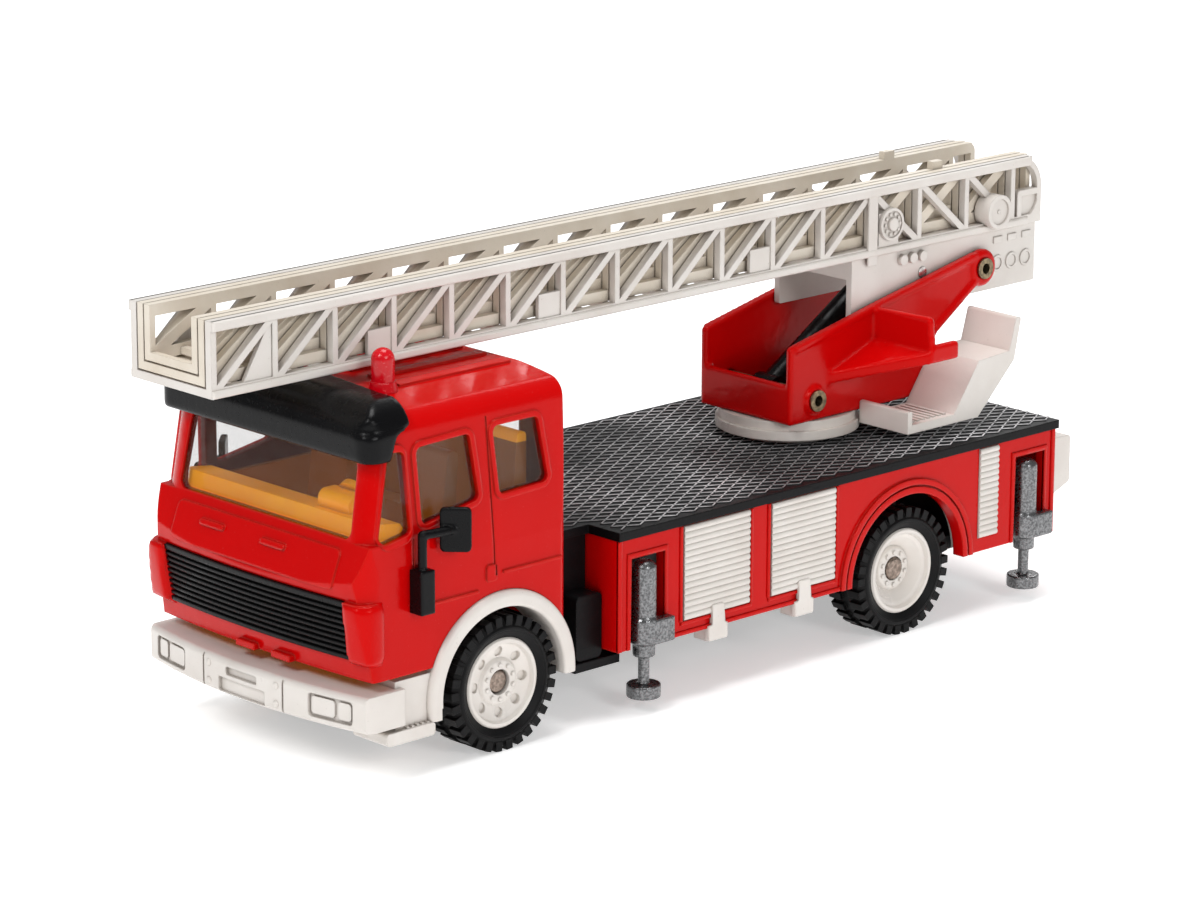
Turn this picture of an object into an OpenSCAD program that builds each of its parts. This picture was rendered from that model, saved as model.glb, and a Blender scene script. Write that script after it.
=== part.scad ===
// Die-cast toy fire engine with a turntable ladder, about 1:55.
// +X is the way the truck faces, +Y is its left, +Z is up, and the tyres stand on Z = 0.
// Inside the modules X is counted from the front axle, and from_front_axle() moves it to the origin.

/* [Layout] */
// Distance between the axles
wheelbase = 74.3; // [68:0.1:82]
// Distance from the front axle back to the rear wall of the cab
cab_back = 10.9; // [10:0.1:12.5]
// Open space between the cab and the equipment body
body_gap = 8.5; // [8:0.1:12]
// Distance from the rear axle back to the rear wall of the body
rear_overhang = 30.2; // [29:0.1:36]

/* [Wheels] */
// Diameter over the tread lugs
tyre_d = 18; // [16.6:0.1:18.6]
// Width of a tyre
tyre_w = 6; // [4.8:0.1:6.4]
// Width over the outer faces of a pair of tyres
track_w = 41.7; // [40.5:0.1:42.5]
// Diameter of the hub that the tyre sits on
hub_d = 12; // [10:0.1:12.6]
// Diameter of the steel axles
axle_d = 1.5; // [1.2:0.1:2]
// Lugs in one row of the tread
tread_lugs = 30; // [24:1:40]
// Height of the lugs above the carcass
lug_h = 0.5; // [0.3:0.05:0.8]
// Diameter of the riveted heads of the axles
axle_head_d = 3.2; // [2.4:0.1:3.4]

/* [Chassis] */
// Height of the base plate above the ground
plate_z = 6.4; // [5.6:0.1:6.8]
// Thickness of the base plate
plate_t = 2; // [1.4:0.1:2.2]
// Width of the base plate
plate_w = 23; // [18:0.5:25]

/* [Cab] */
// Width of the cab at the doors
cab_w = 42; // [40:0.1:43]
// Width of the cab at the edge of the roof
roof_w = 39.8; // [37:0.1:40.5]
// Height of the lower edge of the cab
cab_floor_z = 13.8; // [13:0.1:14.6]
// Height of the top of the roof
roof_z = 48.4; // [46.5:0.1:49]
// Thickness of the cast walls of the cab
cab_wall = 1.2; // [0.9:0.05:1.4]
// Distance from the front axle to the nose
nose_x = 24.8; // [24:0.1:26]
// Radius of the bow of the nose in plan
nose_bow_r = 190; // [120:5:400]
// Height of the foremost edge of the nose
nose_z = 24.9; // [24.4:0.1:25.4]
// Lean of the nose from upright
nose_lean = 8; // [4:0.5:10]
// Height of the ledge under the windscreen
screen_foot_z = 31.3; // [30:0.1:32]
// Distance from the front axle to the foot of the windscreen
screen_foot_x = 22.3; // [21.6:0.1:23]
// Lean of the windscreen from upright
screen_lean = 11; // [6:0.5:13]
// Height of the side windows' lower edge
window_sill_z = 33.2; // [32:0.1:34.5]
// Height of the side windows' upper edge
window_top_z = 43; // [41:0.1:43.5]

/* [Front end] */
// Width of the bumper
bumper_w = 43.2; // [42:0.1:44.6]
// Distance from the front axle to the middle of the bumper
bumper_x = 26.3; // [25.8:0.1:28]
// Radius of the bow of the bumper in plan
bumper_bow_r = 95; // [70:1:160]
// Height of the lower edge of the bumper
bumper_z = 7.5; // [7:0.1:8.5]
// Height of the bumper bar
bumper_h = 4.8; // [4:0.1:5.2]
// Width of the radiator grille
grille_w = 35.8; // [32:0.1:36.4]
// Height of the lower edge of the grille
grille_z = 16.4; // [16:0.1:17]
// Height of the grille
grille_h = 7.8; // [7:0.1:8]
// Louvres in the grille
louvres = 9; // [5:1:11]
// Radius of the wheel arch moulding at the front
fender_r = 12.6; // [12.2:0.1:12.8]
// Thickness of the wheel arch moulding
fender_t = 2.2; // [1.2:0.1:2.4]

/* [Body] */
// Width of the equipment body
body_w = 42.7; // [41:0.1:43.2]
// Thickness of the cast walls of the body
body_wall = 1.5; // [1.1:0.05:1.8]
// Height of the lower edge of the body
body_floor_z = 9; // [8.6:0.1:10]
// Radius of the rear wheel arch opening
arch_r = 11.2; // [10.6:0.1:11.5]
// Width of the raised lip round the rear wheel arch
arch_lip = 2; // [1.2:0.1:2.2]
// Width of an outrigger bay
bay_w = 6.2; // [5.6:0.1:7]
// Height of the top of an outrigger bay
bay_top_z = 21.5; // [20.8:0.1:22]
// Height of the lower edge of the roller shutters
shutter_z = 11; // [10.8:0.1:13]
// Slats in one roller shutter
shutter_slats = 10; // [6:1:12]

/* [Deck] */
// How far the deck plate stands out past each side of the body
deck_lip = 0.55; // [0.2:0.05:1.2]
// Height of the top of the deck
deck_z = 25.4; // [25:0.1:26]
// Thickness of the deck plate
deck_t = 1.2; // [0.8:0.1:1.6]

/* [Turntable] */
// Distance of the turntable's axis ahead of the rear axle
turntable_x = 2; // [0:0.1:6]
// Diameter of the turntable's flange
turntable_d = 20.2; // [17:0.1:22]
// Diameter of the pivot that passes through the deck
pivot_d = 7; // [5:0.1:9]
// Width over the walls of the cradle
cradle_w = 17.6; // [17.2:0.1:19]
// Thickness of the cast walls of the cradle
cradle_wall = 1.1; // [0.8:0.05:1.2]
// Diameter of the hollow rivets
rivet_d = 2.4; // [2:0.1:2.8]

/* [Ladder] */
// Distance of the ladder's hinge behind the turntable's axis
hinge_back = 30.2; // [29:0.1:32]
// Height of the ladder's hinge
hinge_z = 45.5; // [44.5:0.1:46]
// Width of the base ladder
ladder_w = 16.2; // [15.8:0.1:16.6]
// Height of the bottom of the base ladder
ladder_z = 50.3; // [50:0.1:51.5]
// Height of the side walls of the base ladder
ladder_h = 9.8; // [8.8:0.1:11]
// Distance between the posts of the ladder
bay_pitch = 9.7; // [9:0.1:10.4]
// Bays of the ladder ahead of the hinge bracket
front_bays = 12; // [11:1:13]
// Thickness of a ladder section's side wall
ladder_wall = 1.1; // [0.9:0.05:1.3]
// Gap between one ladder section and the next
ladder_gap = 0.25; // [0.15:0.05:0.4]

/* [Ram] */
// Diameter of the ram's cylinder
ram_d = 3.8; // [3:0.1:4.4]
// Diameter of the ram's rod
rod_d = 2; // [1.4:0.1:2.4]

/* [Outriggers] */
// Diameter of the jack leg
leg_d = 3.3; // [2.8:0.1:3.8]
// Height of the underside of the jack's foot
foot_z = 1.9; // [1:0.1:2.4]
// Diameter of the jack's foot
foot_d = 4.6; // [3.6:0.1:5]
// Side of the square sliding beam
beam_w = 3; // [2.4:0.1:3.4]

/* [Clearances] */
// Radial clearance of a turning fit
run_gap = 0.08; // [0.04:0.01:0.1]
// Clearance of a sliding fit
slide_gap = 0.15; // [0.1:0.01:0.2]
// Clearance between cast pieces that are fixed together
seat_gap = 0.05; // [0.02:0.01:0.1]

/* [Hidden] */
$fn = 48;
eps = 0.01;
// How far the arc of a round corner reaches past its two sides, so that it crosses them cleanly
arc_bite = 0.002;
far = 200;

axle_z = tyre_d / 2;
rear_x = -wheelbase;
hub_y = track_w / 2 - tyre_w / 2;
plate_top = plate_z + plate_t;

body_x0 = -cab_back - body_gap;
body_x1 = rear_x - rear_overhang;
deck_z0 = deck_z - deck_t;
deck_w = body_w + 2 * deck_lip;
body_top_t = 1.5;

bay_post = 2.2;
front_bay_x = body_x0 - bay_post - bay_w / 2;
rear_bay_x = body_x1 + bay_post + bay_w / 2;
shutter_post = 3.5;
mid_post = 4.2;
arch_post = 1.3;
arch_foot = arch_r + arch_lip;
shutter_a0 = front_bay_x - bay_w / 2 - shutter_post;
shutter_b1 = rear_x + arch_foot + arch_post;
shutter_len = (shutter_a0 - shutter_b1 - mid_post) / 2;
shutter_c0 = rear_x - arch_foot - arch_post;
shutter_c1 = rear_bay_x + bay_w / 2 + shutter_post;
shutter_h = deck_z0 - 0.3 - shutter_z;

tt_x = rear_x + turntable_x;
tt_flange_z = deck_z + 1.1;
tt_flange_t = 1.3;
tt_top_z = deck_z + 3.7;

hinge_x = tt_x - hinge_back;
bracket_post = 22.1;
front_post_x = hinge_x + bracket_post + front_bays * bay_pitch;
tail_bays = 3;
tail_len = 6;
post_w = 0.85;
ladder_x1 = front_post_x - (front_bays + tail_bays) * bay_pitch - tail_len;
ladder_x0 = front_post_x + post_w / 2;
front_axle_x = -(ladder_x0 + ladder_x1) / 2;

ram_x = tt_x + 3.7;
ram_z = tt_top_z + 3;
pin_ahead = 11.2;
pin_over = 0.9;
pin_x = hinge_x + pin_ahead;
pin_z = hinge_z + pin_over;
pin_d = 1.6;
ram_len = norm([pin_x - ram_x, pin_z - ram_z]);
ram_angle = atan2(pin_z - ram_z, pin_x - ram_x);
ram_slack = 1.4;

// Helpers

module from_front_axle() {
    translate([front_axle_x, 0, 0]) children();
}

module both_sides() {
    children();
    mirror([0, 1, 0]) children();
}

// Extrudes an X-Z outline along Y, from y0 to y1
module side_slab(y0, y1) {
    translate([0, y1, 0]) rotate([90, 0, 0]) linear_extrude(y1 - y0) children();
}

// Extrudes a Y-Z outline along X, from x0 to x1
module cross_slab(x0, x1) {
    translate([x0, 0, 0]) rotate([90, 0, 90]) linear_extrude(x1 - x0) children();
}

// A round bar along Y, from y0 to y1
module cross_bar(x, z, y0, y1, d) {
    translate([x, y1, z]) rotate([90, 0, 0]) cylinder(d = d, h = y1 - y0);
}

module box(x0, x1, y0, y1, z0, z1) {
    translate([x0, y0, z0]) cube([x1 - x0, y1 - y0, z1 - z0]);
}

function unit(v) = v / norm(v);

// The two tangent points and the centre of a round corner of an outline
function corner(p, i, r) =
    let (
        n = len(p),
        a = unit(p[(i + n - 1) % n] - p[i]),
        b = unit(p[(i + 1) % n] - p[i]),
        half = acos(a * b) / 2
    )
    [p[i] + a * r / tan(half), p[i] + b * r / tan(half), p[i] + unit(a + b) * r / sin(half)];

// An outline with true arcs at the corners that have a radius
module round_outline(p, radii) {
    polygon([for (i = [0 : len(p) - 1])
        each radii[i] > 0 ? [corner(p, i, radii[i])[0], corner(p, i, radii[i])[1]] : [p[i]]]);
    for (i = [0 : len(p) - 1])
        if (radii[i] > 0)
            translate(corner(p, i, radii[i])[2]) circle(radii[i] + arc_bite);
}

module round_rect(x0, x1, y0, y1, r) {
    round_outline([[x0, y0], [x1, y0], [x1, y1], [x0, y1]], [r, r, r, r]);
}

// Chassis

tank_y = 18.4;
tank_z0 = 8;
tank_z1 = 16.8;
step_t = 1.2;
bulkhead_w = 30.4;
bulkhead_z = 16;
bearing_l = 6;
bearing_h = 3.2;
bearing_w = track_w - 2 * tyre_w - 1;
plate_x0 = 17.4;
boss_d = 4;
cab_boss_x = [plate_x0 - boss_d / 2 - 0.5, -cab_back + 3.3];
body_boss_x = [body_x0 - 20, rear_x - 16];
beam_z = 15.5;
guide_w = beam_w + 4;
guide_y = body_w / 2 - body_wall - 6;
tank_x0 = -cab_back - 3.9;

module chassis() from_front_axle() color("#1c1c1e") {
    difference() {
        union() {
            box(body_x1 + body_wall + 0.5, plate_x0, -plate_w / 2, plate_w / 2, plate_z, plate_top);
            for (x = [0, rear_x])
                box(x - bearing_l / 2, x + bearing_l / 2, -bearing_w / 2, bearing_w / 2,
                    plate_z, axle_z + bearing_h);
            for (x = [front_bay_x, rear_bay_x])
                box(x - guide_w / 2, x + guide_w / 2, -guide_y, guide_y, plate_z, beam_z + beam_w / 2 + 1.5);
            bulkhead();
            both_sides() tank();
        }
        for (x = [0, rear_x])
            cross_bar(x, axle_z, -far, far, axle_d + 2 * run_gap);
        both_sides()
            for (x = [front_bay_x, rear_bay_x])
                box(x - beam_w / 2 - slide_gap, x + beam_w / 2 + slide_gap, 0.5, far,
                    beam_z - beam_w / 2 - slide_gap, beam_z + beam_w / 2 + slide_gap);
        for (x = concat(cab_boss_x, body_boss_x))
            chassis_screw(x, seat_gap);
    }
}

// Block under the tongue of the deck that closes the gap behind the cab
module bulkhead() {
    x0 = body_x0 + seat_gap;
    x1 = -cab_back - 0.8;
    box(x0, x1, -bulkhead_w / 2, bulkhead_w / 2, bulkhead_z, deck_z0);
    box(x0, x1, -plate_w / 2, plate_w / 2, plate_z, bulkhead_z + eps);
}

// Side tank with a step under it
module tank() {
    y0 = plate_w / 2 - eps;
    step_z = plate_z + 0.2;
    side_slab(y0, tank_y)
        round_rect(body_x0 + seat_gap, tank_x0, tank_z0, tank_z1, 0.8);
    box(body_x0 - 3, tank_x0 + 0.4, y0, tank_y + 0.2, step_z, step_z + step_t);
    box(body_x0 + seat_gap, tank_x0, y0, tank_y - 0.8, step_z + step_t - eps, tank_z0 + 1);
}

rivet_shank = 2;
rivet_head = 3.4;
rivet_head_t = 0.8;

module chassis_screw(x, gap) {
    translate([x, 0, plate_z - eps]) cylinder(d = rivet_head + 2 * gap, h = rivet_head_t + gap);
    translate([x, 0, plate_z - eps]) cylinder(d = rivet_shank + 2 * gap, h = plate_t + 2);
}

module chassis_rivets() from_front_axle() color("#9a9a98")
    for (x = concat(cab_boss_x, body_boss_x))
        translate([x, 0, plate_z + 0.1]) {
            cylinder(d = rivet_head, h = rivet_head_t - 0.1);
            cylinder(d = rivet_shank, h = plate_t + 1.9);
        }

// Cab

screen_top_x = screen_foot_x - (roof_z - screen_foot_z) * tan(screen_lean);
nose_foot_x = nose_x - (nose_z - cab_floor_z) * tan(nose_lean);
front_corner_r = 4;
rear_corner_r = 1.4;
roof_rear_r = 1.2;
brow_x = 1.3;
brow_h = 5;
waist_z = 28;
eaves_h = 1.5;
eaves_r = 2.8;
crown_w = 22;
cab_boss_z = 22.4;
arch_x = 0.6;

// The closed outside of the cab, with every face moved in by inset
module cab_solid(inset, floor_z) {
    intersection() {
        side_slab(-far, far) cab_side(inset, floor_z);
        cross_slab(-far, far) cab_front(inset, floor_z);
        cab_plan(inset, floor_z);
        translate([0, 0, floor_z - 1]) linear_extrude(far)
            round_rect(-cab_back + inset, far, -cab_w / 2 + inset, cab_w / 2 - inset,
                max(rear_corner_r - inset, 0.1));
    }
}

module cab_side(inset, floor_z) {
    roof_front = screen_top_x + 1 - inset;
    round_outline([
        [-cab_back + inset, floor_z],
        [nose_x - inset, floor_z],
        [nose_x - inset, nose_z],
        [screen_foot_x - inset, screen_foot_z],
        [screen_top_x + brow_x - inset, roof_z - brow_h],
        [roof_front - 2, roof_z - inset],
        [-cab_back + inset, roof_z - inset]
    ], [0, 0, 0, 0, 0, 0, roof_rear_r]);
}

module cab_front(inset, floor_z) {
    h = cab_w / 2 - inset;
    e = roof_w / 2 - inset;
    eaves_z = roof_z - eaves_h - inset;
    round_outline([
        [-h, floor_z], [h, floor_z], [h, waist_z], [e, eaves_z], [crown_w / 2, roof_z - inset],
        [-crown_w / 2, roof_z - inset], [-e, eaves_z], [-h, waist_z]
    ], [0, 0, 0, eaves_r, 0, 0, eaves_r, 0]);
}

// Round front corners: upright below the windscreen, leaning with it above
module cab_plan(inset, floor_z) {
    h = cab_w / 2 - inset;
    r = front_corner_r - inset;
    intersection() {
        translate([0, 0, floor_z]) linear_extrude(screen_foot_z - floor_z)
            round_outline([[-far, -h], [nose_x - inset, -h], [nose_x - inset, h], [-far, h]], [0, r, r, 0]);
        nose_bow(inset);
    }
    intersection() {
        translate([0, 0, screen_foot_z]) linear_extrude(far) square(2 * far, center = true);
        translate([screen_foot_x - inset, 0, screen_foot_z]) rotate([0, -screen_lean, 0])
            translate([0, 0, -10]) linear_extrude(60)
                round_outline([[-far, -h], [0, -h], [0, h], [-far, h]], [0, r, r, 0]);
    }
}

// Side windows: quarter light, door and rear, each as corners from the lower front
quarter_window = [[20.8, 31.1], [15.7, 32], [16.3, window_top_z - 0.4], [18.8, window_top_z - 0.2]];
door_window = [[13.9, 32.6], [4.2, window_sill_z + 1.1], [5.4, window_top_z], [14.4, window_top_z - 0.3]];
rear_window = [[0.8, window_sill_z + 1], [-7.7, window_sill_z + 1.3], [-6.2, window_top_z + 0.2],
    [1.6, window_top_z + 0.2]];
side_windows = [quarter_window, door_window, rear_window];
window_r = 0.9;
frame_w = 0.7;
trim_h = 0.3;
screen_w = 34;
screen_h = roof_z - 6.9 - screen_foot_z;
pane_set = 0.35;

function centre(p) = (p[0] + p[1] + p[2] + p[3]) / 4;
function grown(p, d) = [for (q = p) q + unit(q - centre(p)) * d * sqrt(2)];

module side_window_outlines(grow) {
    for (w = side_windows)
        round_outline(grown(w, grow), [for (q = w) window_r + grow]);
}

module windscreen_outline(grow) {
    h = screen_w / 2 + grow;
    round_outline([[-h, screen_foot_z + 0.2 - grow], [h, screen_foot_z + 0.2 - grow],
        [h - 0.6, screen_foot_z + screen_h + grow], [-h + 0.6, screen_foot_z + screen_h + grow]],
        [1.2, 1.2, 1.2, 1.2]);
}

module rear_light_outline(grow) {
    round_rect(-rear_light_w / 2 - grow, rear_light_w / 2 + grow, rear_light_z - grow,
        rear_light_z + rear_light_h + grow, 1);
}

beacon_x = 12.2;
beacon_y = 11.8;
beacon_d = 3;
beacon_h = 5.2;
rib_pitch = 4.6;
rib_w = 1.6;
rib_x0 = beacon_x - beacon_d / 2 - 0.8;
rear_light_h = 7;
rear_light_w = 26;
rear_light_z = window_sill_z + 1.3;
panel_w = 32;
door_x = 2.4;
door_w = 12.8;
crease_z = 23.9;
crease_h = 0.35;
block_x = screen_foot_x - 1.7;
block_h = 0.7;
handle_w = 1.8;
wiper_y = [-8.3, 3.8];
wiper_l = 4.7;
wiper_z = 28.3;
groove_w = 0.25;
groove_d = 0.2;

// Everything that stands proud of the cab's skin, before it is trimmed to the trim height
module cab_trim() {
    side_slab(-far, far)
        difference() {
            side_window_outlines(frame_w);
            side_window_outlines(-eps);
        }
    for (i = [-2.5 : 1 : 2.5])
        box(-cab_back + 2, rib_x0, i * rib_pitch - rib_w / 2, i * rib_pitch + rib_w / 2, roof_z - 3, far);
    cross_slab(screen_foot_x - 4, far)
        round_rect(-panel_w / 2, panel_w / 2, nose_z + 0.5, screen_foot_z - 1, 0.8);
    both_sides() {
        box(-cab_back + 1.3, door_x - 2, cab_w / 4, far, crease_z, crease_z + crease_h);
        box(door_x + 2.2, door_x + 10, cab_w / 4, far, crease_z - 1.8, crease_z - 1.8 + crease_h);
    }
}

// Corner blocks beside the grille, door handles and wiper stubs, which stand prouder
module cab_blocks() {
    side_slab(-far, far)
        round_outline([[block_x, grille_z], [far, grille_z], [far, grille_z + grille_h],
            [block_x, grille_z + grille_h]], [1.4, 0, 0, 1.4]);
    both_sides()
        side_slab(cab_w / 4, far)
            round_rect(door_x - handle_w / 2, door_x + handle_w / 2, crease_z - 0.7, crease_z + 1.5, 0.5);
    for (y = wiper_y)
        cross_slab(screen_foot_x - 2, far)
            round_rect(y - wiper_l / 2, y + wiper_l / 2, wiper_z, wiper_z + 0.7, 0.3);
}

// Frames, ribs, blocks and handles at their height over the cab's skin
module cab_raised() {
    intersection() {
        cab_solid(-trim_h, cab_floor_z);
        cab_trim();
    }
    intersection() {
        cab_solid(-block_h, cab_floor_z);
        box(-far, far, -cab_w / 2 - trim_h, cab_w / 2 + trim_h, cab_floor_z, far);
        difference() {
            cab_blocks();
            box(block_x, far, -grille_w / 2 - seat_gap, grille_w / 2 + seat_gap,
                grille_z - eps, grille_z + grille_h + eps);
        }
    }
}

// Shut lines of the doors
module cab_grooves() {
    both_sides() {
        side_slab(cab_w / 4, far)
            square_line([door_x, window_top_z + 1.6], [door_x - 0.7, crease_z], groove_w);
        side_slab(cab_w / 4, far)
            square_line([door_x + door_w, screen_foot_z], [door_x + door_w + 0.4, crease_z - 1.9], groove_w);
    }
}

// A straight stroke between two points of an outline
module square_line(a, b, w) {
    d = unit(b - a);
    n = [-d[1], d[0]] * w / 2;
    polygon([a + n, b + n, b - n, a - n]);
}

module cab_shell() from_front_axle() color("#c8101c") {
    difference() {
        union() {
            cab_solid(0, cab_floor_z);
            cab_raised();
            nose_tabs();
        }
        cab_solid(cab_wall, cab_floor_z - 1);
        side_slab(-far, far) side_window_outlines(0);
        cross_slab(screen_top_x - 2, far) windscreen_outline(0);
        cross_slab(-far, 0) rear_light_outline(0);
        cross_bar(arch_x, axle_z, -far, far, 2 * fender_r + 2 * seat_gap);
        grille_pocket();
        difference() {
            cab_grooves();
            cab_solid(groove_d, cab_floor_z - 2);
        }
    }
    cab_bosses();
}

// Two small hooks under the grille
module nose_tabs() {
    for (y = tab_y)
        box(nose_foot_x - cab_wall, nose_foot_x + 0.9, y - tab_l / 2, y + tab_l / 2,
            cab_floor_z, cab_floor_z + 0.8);
}

tab_y = [-1.7, 5.3];
tab_l = 3.6;
web_t = 1.4;
web_z = grille_z;

// Posts that stand on the chassis, tied to the end walls by webs
module cab_bosses() {
    difference() {
        for (x = cab_boss_x) {
            translate([x, 0, plate_top]) cylinder(d = boss_d, h = cab_boss_z - plate_top);
            intersection() {
                box(min(x, sign(x) * far), max(x, sign(x) * far), -web_t / 2, web_t / 2,
                    cab_floor_z + 0.4, web_z);
                cab_solid(cab_wall / 2, cab_floor_z);
            }
        }
        for (x = cab_boss_x)
            translate([x, 0, plate_top - eps]) cylinder(d = rivet_shank, h = 2.01);
    }
}

grille_t = 1;
grille_inset = 0.6;

module grille_pocket() {
    difference() {
        cross_slab(nose_x - 3, far)
            round_rect(-grille_w / 2 - seat_gap, grille_w / 2 + seat_gap,
                grille_z - seat_gap, grille_z + grille_h + seat_gap, 0.5);
        nose_bow(grille_inset);
    }
}

// The volume behind the bowed and leaning nose, moved back by inset
module nose_bow(inset) {
    translate([nose_x - inset, 0, nose_z]) rotate([0, nose_lean, 0])
        translate([-nose_bow_r, 0, -far / 2]) cylinder(r = nose_bow_r, h = far, $fn = 96);
}

module grille() from_front_axle() color("#141416")
    difference() {
        intersection() {
            cross_slab(nose_x - 3, far)
                round_rect(-grille_w / 2, grille_w / 2, grille_z, grille_z + grille_h, 0.45);
            nose_bow(grille_inset - grille_t);
        }
        nose_bow(grille_inset);
        difference() {
            for (i = [0 : louvres - 1])
                box(0, far, -far, far, grille_z + louvre_edge + i * louvre_pitch,
                    grille_z + louvre_edge + (i + 0.5) * louvre_pitch);
            nose_bow(grille_inset - grille_t + louvre_d);
        }
    }

louvre_edge = 0.55;
louvre_d = 0.5;
louvre_pitch = (grille_h - 2 * louvre_edge + 0.2) / louvres;

interior_floor = 1.2;
cushion_z = 28.4;
seat_y = 9.5;
seat_w = 7.2;
seat_top_z = 38.5;
bench_w = 32;
glass_z = screen_foot_z;
glass_top_z = roof_z - 3.2;
glass_t = 0.7;
dash_x = 14.5;
dash_z = screen_foot_z + 0.3;
wheel_d = 6;

// Amber moulding with the floor, the dashboard and the seats
module interior() from_front_axle() color("#e0901c") {
    gap = cab_wall + seat_gap;
    difference() {
        intersection() {
            cab_solid(gap, cab_floor_z);
            box(-far, far, -far, far, cab_boss_z, glass_z);
        }
        cab_cavity_cut();
    }
    intersection() {
        cab_solid(gap + glass_t + seat_gap, cab_floor_z);
        union() {
            dashboard();
            for (y = [-seat_y, seat_y])
                seat(5, y);
            rear_bench();
        }
    }
}

// Leaves a floor and a low wall round the edge of the moulding
module cab_cavity_cut() {
    intersection() {
        cab_solid(cab_wall + seat_gap + 1, cab_floor_z);
        box(-far, far, -far, far, cab_boss_z + interior_floor, far);
    }
}

// Dashboard with the binnacle and the steering wheel on the left
module dashboard() {
    side_slab(-far, far)
        polygon([[dash_x, cab_boss_z + 1], [far, cab_boss_z + 1], [far, dash_z], [dash_x + 5, dash_z + 1.8],
            [dash_x + 1, dash_z + 1.2], [dash_x, dash_z - 0.6]]);
    side_slab(seat_y - wheel_d / 2, seat_y + wheel_d / 2)
        round_rect(dash_x + 0.3, dash_x + 4.1, dash_z - 0.6, dash_z + 3.8, 1.2);
    translate([dash_x + 0.4, seat_y, dash_z + 2]) rotate([0, -62, 0]) cylinder(d = wheel_d, h = 0.9);
}

module seat(x, y) {
    foot = cab_boss_z + interior_floor - eps;
    side_slab(y - seat_w / 2, y + seat_w / 2)
        round_outline([[x + 4, foot], [x + 4, cushion_z], [x - 1, cushion_z - 0.4], [x - 2.4, seat_top_z],
            [x - 4.2, seat_top_z], [x - 3.2, foot]], [0, 0.8, 0, 0.8, 0.8, 0]);
}

module rear_bench() {
    x = -cab_back + 4.7;
    foot = cab_boss_z + interior_floor - eps;
    side_slab(-bench_w / 2, bench_w / 2)
        round_outline([[x + 4.6, foot], [x + 4.6, cushion_z - 0.4], [x + 0.6, cushion_z - 0.8],
            [x - 0.4, seat_top_z + 1.5], [x - 2, seat_top_z + 1.5], [x - 2, foot]], [0, 0.6, 0, 0.8, 0.6, 0]);
}

// Clear moulding behind all the windows, with a pane that stands into each opening
module glazing() from_front_axle() color("#d8e4e6", 0.35) {
    gap = cab_wall + seat_gap;
    difference() {
        intersection() {
            cab_solid(gap, cab_floor_z);
            box(-far, far, -far, far, glass_z, glass_top_z);
        }
        cab_solid(gap + glass_t, cab_floor_z - 5);
    }
    difference() {
        intersection() {
            cab_solid(pane_set, cab_floor_z);
            union() {
                both_sides() side_slab(cab_w / 4, far) side_window_outlines(-seat_gap);
                cross_slab(screen_top_x - 2, far) windscreen_outline(-seat_gap);
                cross_slab(-far, 0) rear_light_outline(-seat_gap);
            }
        }
        cab_solid(gap + glass_t / 2, cab_floor_z - 5);
    }
}

visor_drop = 6.7;
visor_z = roof_z - visor_drop;
visor_band_z = roof_z - 3.1;
visor_top_z = roof_z + 0.7;
visor_x = screen_foot_x + 0.2;
visor_w = cab_w - 0.4;
visor_wing = 5;
visor_len = 7.4;
visor_lip = 0.25;
visor_brow_r = 4;
visor_crown_r = 5;
visor_side_r = 4.6;
visor_profile = [[visor_x - visor_wing + 1, visor_z], [visor_x, visor_z], [visor_x, visor_band_z + 0.9],
    [visor_x - 2.9, visor_top_z], [visor_x - visor_len - 1.8, visor_top_z - 0.2],
    [visor_x - visor_len - 1.8, roof_z - 2], [visor_x - visor_wing, visor_band_z - 0.5]];

// Black hood over the windscreen: a rounded top over an upright band, lying on the roof
module visor() from_front_axle() color("#101012")
    difference() {
        intersection() {
            side_slab(-far, far)
                intersection() {
                    polygon(visor_profile);
                    round_outline(visor_profile, [0, 0.4, visor_brow_r, visor_crown_r, 0.3, 0, 0.5]);
                }
            union() {
                translate([0, 0, visor_z]) linear_extrude(visor_band_z - visor_z) visor_plan(0, 2.2);
                intersection() {
                    translate([0, 0, visor_z]) linear_extrude(far) visor_plan(visor_lip, 3);
                    cross_slab(-far, far)
                        round_outline([[-visor_w / 2, 0], [visor_w / 2, 0], [visor_w / 2, visor_top_z],
                            [-visor_w / 2, visor_top_z]], [0, 0, visor_side_r, visor_side_r]);
                }
            }
        }
        cab_solid(0, cab_floor_z);
        cab_raised();
    }

module visor_plan(inset, r) {
    h = visor_w / 2 - inset;
    x1 = visor_x - visor_len;
    round_outline([[x1, -h], [visor_x - inset, -h], [visor_x - inset, h], [x1, h], [x1, 0.7 * h],
        [x1 - 1.8, 0], [x1, -0.7 * h]], [0, r, r, 0, 0, 0, 0]);
}

// Bumper with the steps and the front wheel arches in one white moulding

step_x = 12.4;
step_z = 5.2;
step_h = 1.7;
cheek_y = bumper_w / 2 - 0.8;
fender_y0 = 16;
fender_tip_z = 8.4;
bumper_edge_r = 0.8;

module bumper() from_front_axle() color("#e9e6e1") {
    difference() {
        union() {
            bumper_bar();
            both_sides() fender();
        }
        bumper_recesses();
    }
}

// Bar that is bowed in plan, with its front edges rounded
module bumper_bar() {
    intersection() {
        translate([0, 0, bumper_z - 1]) linear_extrude(bumper_h + 2)
            round_outline([[plate_x0, -bumper_w / 2], [bumper_x, -bumper_w / 2], [bumper_x, bumper_w / 2],
                [plate_x0, bumper_w / 2]], [0, 3.6, 3.6, 0]);
        translate([bumper_x - bumper_bow_r, 0, 0]) rotate_extrude($fn = 180)
            round_outline([[0, bumper_z], [bumper_bow_r, bumper_z], [bumper_bow_r, bumper_z + bumper_h],
                [0, bumper_z + bumper_h]], [0, bumper_edge_r, bumper_edge_r, 0]);
    }
}

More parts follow.
